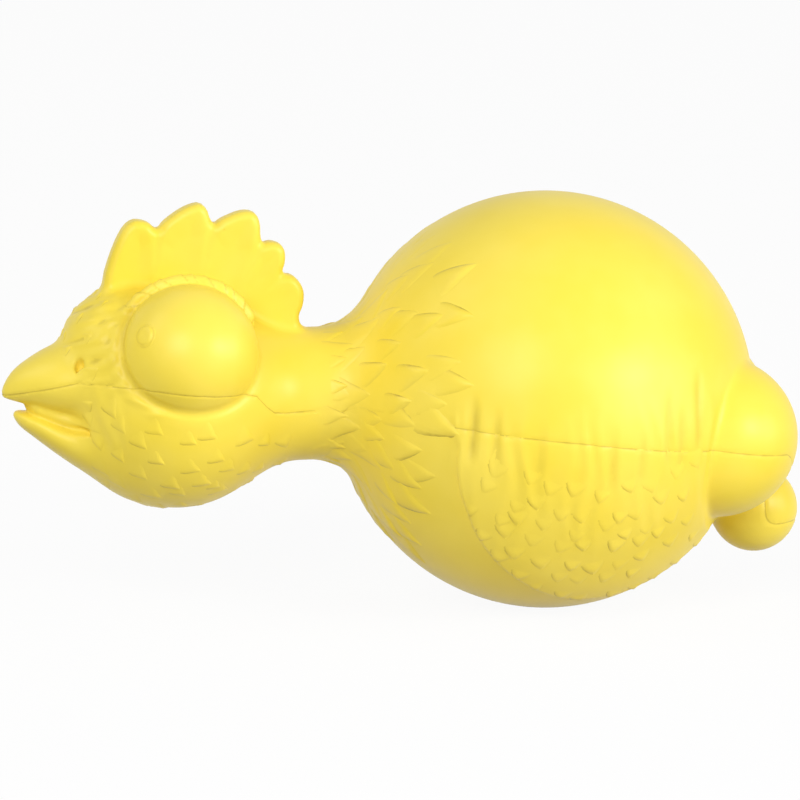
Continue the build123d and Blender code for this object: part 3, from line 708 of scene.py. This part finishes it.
def feather_tree(name, blade):
    """Lays one flat feather at every point, tip on the point. Its height over the skin is kept as "rise", and painted
    shade along its edges is marked too."""
    tree = bpy.data.node_groups.new(name, "GeometryNodeTree")
    numbers = ("Length", "Width", "Rise", "Bevel", "Depth", "Size Variation")
    for label, kind in (("Tips", "Geometry"), *((number, "Float") for number in numbers), ("Seed", "Int"),
                        ("Rubber", "Material")):
        tree.interface.new_socket(label, in_out="INPUT", socket_type="NodeSocket" + kind)
    tree.interface.new_socket("Feathers", in_out="OUTPUT", socket_type="NodeSocketGeometry")
    sizes = node(tree, "NodeGroupInput").outputs
    block = node(tree, "GeometryNodeMeshCube", Size=(1, 1, 1), Vertices_X=9, Vertices_Y=13, Vertices_Z=2)
    spot = node(tree, "ShaderNodeSeparateXYZ", _0=node(tree, "GeometryNodeInputPosition").outputs[0]).outputs
    size = node(tree, "GeometryNodeInputNamedAttribute", data_type="FLOAT", Name="size").outputs[0]
    vary = node(tree, "FunctionNodeRandomValue", data_type="FLOAT", Seed=sizes["Seed"])
    known = {"X": spot["X"], "Y": spot["Y"], "Z": spot["Z"], "Size": size, "Vary": vary.outputs[1],
             **{number: sizes[number] for number in numbers}}
    # one row for each sum: what it gives, its operation or the points of its curve, and its terms
    for label, operation, *terms in (
        ("along", "ADD", "Y", 0.5),
        ("signed", "MULTIPLY", "X", 2.0),
        ("hand", "SIGN", "signed"),
        ("way", "ABSOLUTE", "signed"),
        ("across", ACROSS, 1.0, "way"),
        ("wide", blade[0], 1.0, "along"),
        ("lifted", blade[1], 1.0, "along"),
        ("top", "GREATER_THAN", "Z", 0.0),
        ("bottom", "SUBTRACT", 1.0, "top"),
        ("full", "MULTIPLY", "wide", "Width"),
        ("half", "MULTIPLY", "full", 0.5),
        ("inward", "SUBTRACT", 1.0, "across"),
        ("from edge", "MULTIPLY", "inward", "half"),
        ("bevelled", "MULTIPLY", "from edge", "Bevel"),
        ("stand", "MULTIPLY", "lifted", "Rise"),
        ("blunt", "SMOOTH_MIN", "bevelled", "stand", 0.12),
        ("face", "SUBTRACT", "blunt", 0.1),
        ("high", "MULTIPLY", "face", "top"),
        ("root", "MULTIPLY", "Depth", -1.0),
        ("low", "MULTIPLY", "root", "bottom"),
        ("rise", "ADD", "high", "low"),
        # these five rows give painted shade along the blade's outer edges
        ("outer", "SUBTRACT", "across", 0.6),
        ("steep", "MULTIPLY", "outer", 3.0),
        ("rim", "MAXIMUM", "steep", 0.0),
        ("free rim", "MULTIPLY", "rim", "lifted"),
        ("edge", "MULTIPLY", "free rim", "hand"),
        ("side", "MULTIPLY", "hand", "across"),
        ("flat x", "MULTIPLY", "side", "half"),
        ("back", "SUBTRACT", "along", 1.0),
        ("flat y", "MULTIPLY", "back", "Length"),
        ("least", "SUBTRACT", 1.0, "Size Variation"),
        ("most", "ADD", 1.0, "Size Variation"),
        ("scale", "MULTIPLY", "Size", "Vary"),
    ):
        inputs = {f"_{n}": known.get(term, term) for n, term in enumerate(terms)}
        if isinstance(operation, str):
            made = node(tree, "ShaderNodeMath", operation=operation, **inputs)
        else:
            made = node(tree, "ShaderNodeFloatCurve", curve=operation, **inputs)
        known[label] = made.outputs[0]
    for label, end in (("least", 2), ("most", 3)):
        tree.links.new(known[label], vary.inputs[end])
    shaped = block.outputs["Mesh"]
    for label, value in (("rise", "rise"), ("crease", "edge")):
        shaped = node(tree, "GeometryNodeStoreNamedAttribute", data_type="FLOAT", domain="POINT", Name=label,
                      Geometry=shaped, Value=known[value]).outputs[0]
    flat = node(tree, "ShaderNodeCombineXYZ", _0=known["flat x"], _1=known["flat y"])
    shaped = node(tree, "GeometryNodeSetPosition", Geometry=shaped, Position=flat.outputs[0])
    out, along = (node(tree, "GeometryNodeInputNamedAttribute", data_type="FLOAT_VECTOR", Name=label).outputs[0]
                  for label in ("out", "along"))
    turn = node(tree, "FunctionNodeAxesToRotation", primary_axis="Z", secondary_axis="Y", _0=out, _1=along)
    placed = node(tree, "GeometryNodeInstanceOnPoints", Points=sizes["Tips"], Instance=shaped.outputs[0],
                  Rotation=turn.outputs[0], Scale=known["scale"])
    real = node(tree, "GeometryNodeRealizeInstances", _0=placed.outputs[0])
    smooth = node(tree, "GeometryNodeSetShadeSmooth", _0=real.outputs[0])
    finished = node(tree, "GeometryNodeSetMaterial", Geometry=smooth.outputs[0], Material=sizes["Rubber"])
    node(tree, "NodeGroupOutput", _0=finished.outputs[0])
    return tree


def read_attribute(mesh, name):
    """The numbers of one attribute, a point each."""
    values = np.empty(len(mesh.vertices), dtype=np.float32)
    mesh.attributes[name].data.foreach_get("value", values)
    return values


def feathers(name, tree, tips, seed, shade_side, **sizes):
    """Grow feathers at tips (place, root, size, lift) and lay them on the skin. Millimetres until the end.
    Painted shade darkens one edge of each, the edge away from the light, picked from its place."""
    places, ways, scales, lifts = (np.array(c, dtype=float) for c in zip(*lay(tips)))
    hands = np.array([shade_side(*place) for place in places])
    outs = unit(gradient(under_feathers, places))
    mesh = bpy.data.meshes.new(name)
    mesh.from_pydata(places.tolist(), [], [])
    for label, values in (("out", outs), ("along", ways), ("size", scales), ("lift", lifts), ("hand", hands)):
        kind, key = ("FLOAT_VECTOR", "vector") if values.ndim == 2 else ("FLOAT", "value")
        mesh.attributes.new(label, kind, "POINT").data.foreach_set(key, values.ravel())
    obj = add_object(name, mesh)
    modifier = obj.modifiers.new("feathers", "NODES")
    modifier.node_group = tree
    inputs = {i.name: i.identifier for i in tree.interface.items_tree if i.in_out == "INPUT"}
    for label, value in {"Depth": 1.0, "Size_Variation": 0.08, "Seed": seed, "Rubber": RUBBER, **sizes}.items():
        modifier[inputs[label.replace("_", " ")]] = value
    grown = bpy.data.meshes.new_from_object(obj.evaluated_get(bpy.context.evaluated_depsgraph_get()))
    obj.modifiers.remove(modifier)
    obj.data = grown
    p = np.empty(3 * len(grown.vertices), dtype=np.float32)
    grown.vertices.foreach_get("co", p)
    height, lift, crease, hand = (read_attribute(grown, label) for label in ("rise", "lift", "crease", "hand"))
    height = np.where(height > 0, height * lift, height)
    p = settle(under_feathers, p.reshape(-1, 3).astype(float), rounds=12, limit=2.0)
    slope = unit(gradient(under_feathers, p))
    p = (p + (height + relief(p)[0])[:, None] * slope + BALL) * MM
    grown.vertices.foreach_set("co", p.astype(np.float32).ravel())
    # painted shade: full on the edge away from the light, a fifth as much on the other edge
    crease = np.where(crease * hand > 0, 1.0, 0.2) * np.minimum(np.abs(crease), 1) * np.minimum(lift, 1)
    grown.attributes["crease"].data.foreach_set("value", crease.astype(np.float32))
    for label in ("rise", "lift", "size", "out", "along", "hand"):
        if label in grown.attributes:
            grown.attributes.remove(grown.attributes[label])
    grown.update()
    return obj


def under_feathers(x, y, z):
    """What the feathers lie on: the toy without its comb, mouth and nostrils."""
    form = round_form(x, y, z)
    for sections in (UPPER_BEAK, LOWER_BEAK):
        form = smooth_min(form, beak(x, y, z, sections), BEAK_FILLET)
    return form


def lay(tips):
    """Tips (place, root, size, lift) settled on the skin, pointing away from their roots, on both sides of the toy."""
    places, roots, *rest = zip(*tips)
    places, roots = (settle(under_feathers, np.array(p, dtype=float), rounds=12, limit=3.0) for p in (places, roots))
    laid = [(tuple(p), tuple(w), *more) for p, w, *more in zip(places, unit(places - roots), *rest)]
    return laid + [((x, -y, z), (u, -v, w), *more) for (x, y, z), (u, v, w), *more in laid if abs(y) > 0.5]


def hackle_tips(rng):
    """Staggered rows of pointed neck feathers, from the neck out over the front of the ball; finest along the top."""
    for row, (polar, count, size) in enumerate(HACKLE_ROWS):
        for step in range(count // 2 + 1):
            roll = 360 * (step + 0.5 * (row % 2)) / count + rng.uniform(-4, 4)
            if not 0 <= roll <= 180:
                continue
            at = polar * (1 - 0.2 * float(step_up(75, 105, roll))) + rng.uniform(-2.6, 2.6)
            twist = rng.uniform(-4, 4)
            spots = []
            for angle, around in ((at, roll), (at - 9, roll + twist)):
                a, b = math.radians(angle), math.radians(around)
                spots.append((-BODY_R * math.cos(a), -BODY_R * math.sin(a) * math.sin(b),
                              BODY_R * math.sin(a) * math.cos(b) + HEAD_RISE * (1 - angle / 70)))
            lift = (0.15 + 0.85 * float(step_up(4, 36, roll))) * (0.6 + 0.4 * float(step_up(18, 45, at)))
            yield *spots, size * rng.uniform(0.82, 1.2), lift * rng.uniform(0.45, 1.2)
    for step in range(6):  # a last few narrow ones on the neck itself
        roll = math.radians(22 + 27 * step + rng.uniform(-4, 4))
        y, z = -NECK_R * math.sin(roll), HEAD_RISE + NECK_R * math.cos(roll)
        spots = [(x + rng.uniform(-0.6, 0.6), y, z) for x in (-39.5, -44.5)]
        yield *spots, rng.uniform(0.45, 0.55), rng.uniform(0.5, 0.9)


def wing_tips(rng):
    """Feathers that hang down over the wing in staggered rows, and one row along its edge."""
    spots = []
    for row, level in enumerate(WING_ROWS):
        for step in range(-6, 8):
            x = 4 + (step + 0.5 * (row % 2)) * WING_PITCH + rng.uniform(-1.1, 1.1)
            z = level + 0.011 * (x - 4) ** 2 + rng.uniform(-1.3, 1.3)
            y = -math.sqrt(max(BODY_R**2 - x * x - z * z, 1))
            bearing, spread = on_wing(np.array([x]), np.array([y]), np.array([z]))
            if spread[0] < wing_reach(bearing)[0] - 4.0 and leg(x, y, z, -1) > 3.0:
                spots.append((x, y, z, rng.uniform(0.4, 1.2)))
    bearing = -52.0
    while bearing < 62:
        spread = float(wing_reach(bearing)) + 0.3 + rng.uniform(-0.6, 0.4)
        a, b = math.radians(spread), math.radians(bearing)
        spot = (BODY_R * math.sin(a) * math.sin(b), -BODY_R * math.cos(a), -BODY_R * math.sin(a) * math.cos(b))
        if leg(*spot, -1) > 3.0:
            spots.append((*spot, 1.1))
        bearing += math.degrees(rng.uniform(4.2, 5.8) / (BODY_R * math.sin(a)))
    for x, y, z, lift in spots:
        lean = 0.012 * (x - 2) + rng.uniform(-0.3, 0.3)
        yield (x, y, z), (x - 5 * lean, y * 1.05, z + 5), rng.uniform(0.85, 1.12), lift


def throat_tips(rng):
    """Pointed scales over the cheeks and throat, streaming back and down from between the beak and the eye."""
    pole = np.array((-0.8, -0.3, 0.5)) / math.hypot(0.8, 0.3, 0.5)
    first = np.cross(pole, (0, 1, 0))
    first /= np.linalg.norm(first)
    second = np.cross(pole, first)
    for row, polar in enumerate(range(44, 165, 12)):
        count = max(int(2 * math.pi * HEAD_R * math.sin(math.radians(polar)) / 6.2), 3)
        for step in range(count):
            turn = 2 * math.pi * (step + 0.5 * (row % 2)) / count + rng.uniform(-0.07, 0.07)
            at = polar + rng.uniform(-4, 4)
            lift = rng.uniform(0.45, 1.15)
            spots = []
            for angle, around in ((at, turn), (at - 12, turn + rng.uniform(-0.05, 0.05))):
                a = math.radians(angle)
                way = math.cos(a) * pole + math.sin(a) * (math.cos(around) * first + math.sin(around) * second)
                spots.append(HEAD_R * way + (HEAD_X, 0, HEAD_RISE))
            x, y, z = spots[0]
            clear = ball(x, y, z, eye(-1), EYE_R + LID_W + 0.8) > 0 and beak(x, y, z, LOWER_BEAK) > -0.5
            clear = clear and beak(x, y, z, UPPER_BEAK) > 0.2 and -90 < x < HEAD_X + 19
            if clear and y < -1.5 and z < 2.0 - 0.15 * (x - HEAD_X):
                yield *spots, rng.uniform(0.85, 1.15), lift


def forehead_tips(rng):
    """Small scales across the forehead, pointing back from the root of the beak to the comb."""
    for row, (ahead, up) in enumerate(((19.0, 13.5), (16.4, 16.8), (13.4, 19.6))):
        for step in range(4 - row % 2):
            spread = -1.4 - 3.1 * (step + 0.5 * (row % 2)) + rng.uniform(-0.4, 0.4)
            x, z = HEAD_X - ahead + 0.25 * abs(spread), HEAD_RISE + up - 0.10 * spread**2 + rng.uniform(-0.4, 0.4)
            if ball(x, spread, z, eye(-1), EYE_R + 0.8) < 0 or ball(x, -spread, z, NOSTRIL, 3.4) < 0:
                continue
            yield (x, spread, z), (x - 2.4, spread * 0.85, z - 2.0), rng.uniform(0.85, 1.15), rng.uniform(0.6, 1.1)


def make_feathers():
    """The four fields of moulded feathers, each drawn as a piece of its own over the skin."""
    rng = np.random.default_rng(20)
    hackle = feather_tree("hackle_feather", HACKLE_BLADE)
    wing = feather_tree("wing_feather", WING_BLADE)
    scale = feather_tree("throat_scale", SCALE_BLADE)
    # the function after the seed picks the edge of each feather away from the light, for painted shade
    cape = feathers("hackle_cape", hackle, hackle_tips(rng), 3, lambda x, y, z: y * z,
                    Length=17.0, Width=6.8, Rise=0.55, Bevel=0.42)
    bend_with_neck(cape)
    wings = feathers("wing_feathers", wing, wing_tips(rng), 5, lambda x, y, z: -y,
                     Length=9.5, Width=5.4, Rise=0.32, Bevel=0.36)
    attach(wings, "body")
    throat = feathers("throat_scales", scale, throat_tips(rng), 7, lambda x, y, z: -y,
                      Length=8.5, Width=4.6, Rise=0.42, Bevel=0.42)
    forehead = feathers("forehead_scales", scale, forehead_tips(rng), 11, lambda x, y, z: -y,
                        Length=5.0, Width=3.2, Rise=0.5, Bevel=0.6)
    for piece in (throat, forehead):
        bend_with_neck(piece)


make_feathers()

# ---- Face details ----------------------------------------------------------------------------------
def lathe(name, profile, centre, axis, material, turns=64):
    """A closed ring of profile points (radius, height) turned about an axis through a centre."""
    axis = Vector(axis).normalized()
    turn = axis.to_track_quat("Z", "Y").to_matrix()
    mesh = bmesh.new()
    rings = []
    for step in range(turns):
        a = 2 * math.pi * step / turns
        spots = [Vector((r * math.cos(a), r * math.sin(a), h)) for r, h in profile]
        rings.append([mesh.verts.new(Vector(centre) + turn @ spot) for spot in spots])
    for one, two in zip(rings, rings[1:] + rings[:1]):
        for i in range(len(profile)):
            j = (i + 1) % len(profile)
            mesh.faces.new((one[i], two[i], two[j], one[j]))
    bmesh.ops.remove_doubles(mesh, verts=mesh.verts, dist=1e-5)
    bmesh.ops.delete(mesh, geom=[edge for edge in mesh.edges if not edge.link_faces], context="EDGES")
    bmesh.ops.recalc_face_normals(mesh, faces=mesh.faces)
    for vert in mesh.verts:
        vert.co = (vert.co + Vector(BALL.tolist())) * MM
    data = bpy.data.meshes.new(name)
    mesh.to_mesh(data)
    mesh.free()
    data.shade_smooth()
    data.materials.append(material)
    return add_object(name, data)


def pupils():
    """A low button on each eye, with a fine groove round it."""
    top = EYE_R + PUPIL_RISE
    profile = [(0, EYE_R - 1.0), (PUPIL_R + 0.5, EYE_R - 1.0), (PUPIL_R + 0.5, EYE_R - 0.28),
               (PUPIL_R + 0.32, EYE_R - 0.02), (PUPIL_R + 0.12, EYE_R - 0.14), (PUPIL_R - 0.1, top - 0.12),
               (PUPIL_R - 0.45, top), (0.6, top - 0.05), (0, top - 0.06)]
    for side, name in ((-1, "right"), (1, "left")):  # as seen from in front of the toy
        button = lathe(f"pupil_{name}", profile, eye(side), (GAZE[0], side * GAZE[1], GAZE[2]), RUBBER)
        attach(button, "head")


pupils()

# ---- Filling and squeaker --------------------------------------------------------------------------
def wadding_material():
    """Carded polyester fibre: white, dull and matted, with fibres lying in all directions and a soft sheen."""
    material, tree = new_material("carded_polyester_wadding")
    place = node(tree, "ShaderNodeTexCoord").outputs["Object"]
    bent = node(tree, "ShaderNodeTexNoise", Vector=place, Scale=160.0, Detail=3.0)
    turned = node(tree, "ShaderNodeVectorMath", operation="MULTIPLY_ADD", _0=place, _1=bent.outputs[1], _2=(1, 1, 1))
    stretched = node(tree, "ShaderNodeMapping", Vector=turned.outputs[0], Scale=(1.0, 0.2, 0.6))
    fibres = node(tree, "ShaderNodeTexNoise", Vector=stretched.outputs[0], Scale=1400.0, Detail=6.0, Roughness=0.7)
    white = node(tree, "ShaderNodeValToRGB", Fac=fibres.outputs["Fac"], ramp=((0.3, "#D5D3CB"), (0.62, "#F3F2EE")))
    bump = node(tree, "ShaderNodeBump", Height=fibres.outputs["Fac"], Strength=0.6, Distance=0.0006)
    shader = node(tree, "ShaderNodeBsdfPrincipled", Base_Color=white.outputs["Color"], Normal=bump.outputs["Normal"],
                  Roughness=0.95, Specular_IOR_Level=0.1, Sheen_Weight=0.3)
    node(tree, "ShaderNodeOutputMaterial", Surface=shader.outputs["BSDF"])
    return material


def plastic_material(name, shade, other_shade, roughness, ior, grain_mm, depth_mm):
    """Thermoplastic as it leaves its mould: an even colour with faint flow marks, and a fine texture from the steel."""
    material, tree = new_material(name)
    place = node(tree, "ShaderNodeTexCoord").outputs["Object"]
    flow = node(tree, "ShaderNodeTexNoise", Vector=place, Scale=180.0, Detail=3.0, Distortion=1.2).outputs["Fac"]
    plain = node(tree, "ShaderNodeValToRGB", Fac=flow, ramp=((0.35, shade), (0.65, other_shade)))
    grain = node(tree, "ShaderNodeTexNoise", Vector=place, Scale=1.0 / (grain_mm * MM), Detail=2.0)
    bump = node(tree, "ShaderNodeBump", Height=grain.outputs["Fac"], Strength=0.3, Distance=depth_mm * MM)
    gloss = node(tree, "ShaderNodeMapRange", Value=flow, _3=roughness - 0.05, _4=roughness + 0.05)
    shader = node(tree, "ShaderNodeBsdfPrincipled", Base_Color=plain.outputs["Color"], Normal=bump.outputs["Normal"],
                  Roughness=gloss.outputs[0], IOR=ior)
    node(tree, "ShaderNodeOutputMaterial", Surface=shader.outputs["BSDF"])
    return material


# the room that the wadding leaves round the squeaker: height over the belly flat, and radius
POCKET = ((-2, 9.8), (5.2, 9.8), (5.6, 7.2), (13.6, 7.2), (18.0, 18.9), (44.0, 18.9), (48.4, 10.0))
POCKET_TOP = 48.6
WADDING_GAP = 0.9  # wadding to skin, over the lumps
WADDING_EDGE = 0.8
WADDING_GRID = 1.3


def wadding_form(x, y, z):
    """Distance to the filling: lumpy, clear of the skin, and hollow round the squeaker."""
    lumps = np.sin(0.52 * x + 1.4 * np.sin(0.37 * y + 0.5)) * np.sin(0.47 * y + 0.61 * z + 0.8 * np.sin(0.33 * x))
    lumps = lumps + 0.5 * np.sin(1.1 * x + 0.7 * z) * np.sin(0.9 * y - 0.8 * z)
    filling = round_form(x, y, z) + SKIN_T + WADDING_GAP + 0.45 * lumps
    rise = z + BALL[2]
    pocket = np.maximum(np.sqrt(x * x + y * y) - np.interp(rise, *zip(*POCKET)), rise - POCKET_TOP) - 0.15 * lumps
    return -smooth_min(-filling, pocket, WADDING_EDGE)


def make_wadding():
    """The filling, in the four pieces that it is put in by."""
    material = wadding_material()
    for name, replaced, low, high, body in (
        ("wadding_body_upper", "body_upper_wadding", (BEND_REAR, -40, 0.3), (50, 40, 42), None),
        ("wadding_body_lower", "body_lower_wadding", (BEND_REAR, -40, -42), (50, 40, -0.3), None),
        ("wadding_neck", "neck_wadding", (NECK_CUT + 0.2, -20, -20), (BEND_REAR - 0.4, 20, 25), "body"),
        ("wadding_head", "head_wadding", (-100, -30, -25), (NECK_CUT - 0.2, 30, 30), "head"),
    ):
        def cut_form(x, y, z, low=low, high=high):
            form = wadding_form(x, y, z)
            for value, a, b in ((x, low[0], high[0]), (y, low[1], high[1]), (z, low[2], high[2])):
                form = -smooth_min(-form, -np.maximum(a - value, value - b), WADDING_EDGE)
            return form

        reach = 2 * WADDING_GRID
        p, faces = surface(cut_form, [a - reach for a in low], [b + reach for b in high], WADDING_GRID)
        piece = mesh_object(name, p, faces, material)
        if body:
            bend_with_neck(piece)
        else:
            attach(piece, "body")
        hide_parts(replaced)


def squeaker():
    """The bulb's folded middle, turned from its real profile, and the plastics of the moulded pieces."""
    polythene = plastic_material("blow_moulded_polythene", "#E9E7DD", "#F1F0EA", 0.42, 1.51, 0.9, 0.03)
    polypropylene = plastic_material("moulded_polypropylene", "#E4E2DA", "#ECEAE4", 0.35, 1.49, 0.5, 0.015)
    polyester = plastic_material("polyester_film", "#C8392D", "#D04B3C", 0.18, 1.6, 1.2, 0.004)
    low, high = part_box("bulb_bellows")
    bottom, top = low[2] / MM - BALL[2], high[2] / MM - BALL[2]
    r = (high[0] - low[0]) / 2 / MM
    line = []
    for step in range(BELLOWS_FOLDS * 10 + 1):
        t = step / (BELLOWS_FOLDS * 10)
        fold = 0.5 - 0.5 * math.cos(2 * math.pi * BELLOWS_FOLDS * t)
        line.append((r - BELLOWS_FOLD_DEPTH * fold, bottom + (top - bottom) * t))
    profile = line + [(radius - BULB_WALL, height) for radius, height in reversed(line)]
    bellows = lathe("bellows", profile, (0, 0, 0), (0, 0, 1), polythene)
    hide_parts("bulb_bellows")
    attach(bellows, "body")
    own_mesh(bellows)
    for material, names in ((polythene, ("bulb_base", "bulb_crown")), (polyester, ("reed",)),
                            (polypropylene, ("whistle_housing", "whistle_grille", "reed_seat", "reed_clip"))):
        for name in names:
            for slot in bpy.data.objects[name].material_slots:
                slot.material = material


make_wadding()
squeaker()

# ---- Floor, light and camera -----------------------------------------------------------------------
def backdrop_rays(tree):
    """1 for what the camera sees, directly or in a gloss or through clear plastic."""
    rays = node(tree, "ShaderNodeLightPath").outputs
    seen = rays["Is Camera Ray"]
    for other in ("Is Glossy Ray", "Is Transmission Ray"):
        seen = node(tree, "ShaderNodeMath", operation="MAXIMUM", _0=seen, _1=rays[other]).outputs[0]
    return seen


def stage():
    """A white paper sweep that keeps a faint shadow, and an even white studio."""
    material, tree = new_material("matt_white_paper")
    place = node(tree, "ShaderNodeTexCoord").outputs["Object"]
    paper = node(tree, "ShaderNodeTexNoise", Vector=place, Scale=900.0)
    bump = node(tree, "ShaderNodeBump", Height=paper.outputs["Fac"], Strength=0.02, Distance=0.0002).outputs["Normal"]
    plain, white = (node(tree, "ShaderNodeBsdfDiffuse", Normal=bump, Color=colour(c)) for c in ("#C4C2BC", "#FAFAFA"))
    bright = node(tree, "ShaderNodeEmission", Color=colour("#FFFFFF"), Strength=1.0)
    seen = node(tree, "ShaderNodeMixShader", _0=0.94, _1=white.outputs[0], _2=bright.outputs[0])
    mix = node(tree, "ShaderNodeMixShader", _0=backdrop_rays(tree), _1=plain.outputs[0], _2=seen.outputs[0])
    node(tree, "ShaderNodeOutputMaterial", Surface=mix.outputs[0])
    mesh = bpy.data.meshes.new("floor")
    mesh.from_pydata([(-6, -6, 0), (6, -6, 0), (6, 6, 0), (-6, 6, 0)], [], [(0, 1, 2, 3)])
    mesh.materials.append(material)
    floor = add_object("floor", mesh)
    world = bpy.data.worlds.new("studio")
    bpy.context.scene.world = world
    world.use_nodes = True
    tree = world.node_tree
    tree.nodes.clear()
    soft, white = (node(tree, "ShaderNodeBackground", Color=colour("#FFFFFF"), Strength=light) for light in (0.25, 1.0))
    mix = node(tree, "ShaderNodeMixShader", _0=backdrop_rays(tree), _1=soft.outputs[0], _2=white.outputs[0])
    node(tree, "ShaderNodeOutputWorld", Surface=mix.outputs[0])


RIGHT = Vector((0.985, -0.1736, 0.0))
UP = Vector((0.0331, 0.1879, 0.982))
TO_CAMERA = Vector((-0.1705, -0.9667, 0.1908))
CENTRE = Vector(BALL.tolist()) * MM
VIEW_WIDTH, VIEW_DISTANCE, FILM = 0.1534, 2.5, 36.0  # metres at the ball, metres, and the film's millimetres
AIM = CENTRE - RIGHT * 0.0275 - UP * 0.0002
LAMPS = (  # name, shares of right, up and to the camera, then distance, size and power
    ("front", (-0.28, 0.30, 0.92), 1.6, 0.9, 13.0),
    ("right", (0.95, 0.16, 0.24), 1.5, 0.7, 6.2),
    ("upper_left", (-0.75, 0.62, 0.22), 1.5, 0.8, 3.8),
    ("key", (0.74, 0.20, 0.64), 0.9, 0.28, 3.6),
)


def light_and_camera():
    """Four round soft boxes, and a long lens a little above the toy."""
    for name, (right, up, near), distance, size, power in LAMPS:
        data = bpy.data.lights.new(name, "AREA")
        data.shape, data.size, data.energy = "DISK", size, power
        way = (right * RIGHT + up * UP + near * TO_CAMERA).normalized()
        lamp = add_object(name, data)
        lamp.location = CENTRE + way * distance
        lamp.rotation_euler = way.to_track_quat("Z", "Y").to_euler()
    camera = add_object("camera", bpy.data.cameras.new("camera"))
    camera.data.sensor_width = FILM
    camera.data.lens = FILM * VIEW_DISTANCE / VIEW_WIDTH
    camera.data.clip_end = 20.0
    camera.location = AIM + TO_CAMERA.normalized() * VIEW_DISTANCE
    camera.rotation_euler = Matrix((RIGHT, UP, TO_CAMERA)).transposed().to_euler()
    bpy.context.scene.camera = camera


stage()
light_and_camera()
bpy.context.scene.view_settings.view_transform = "Standard"
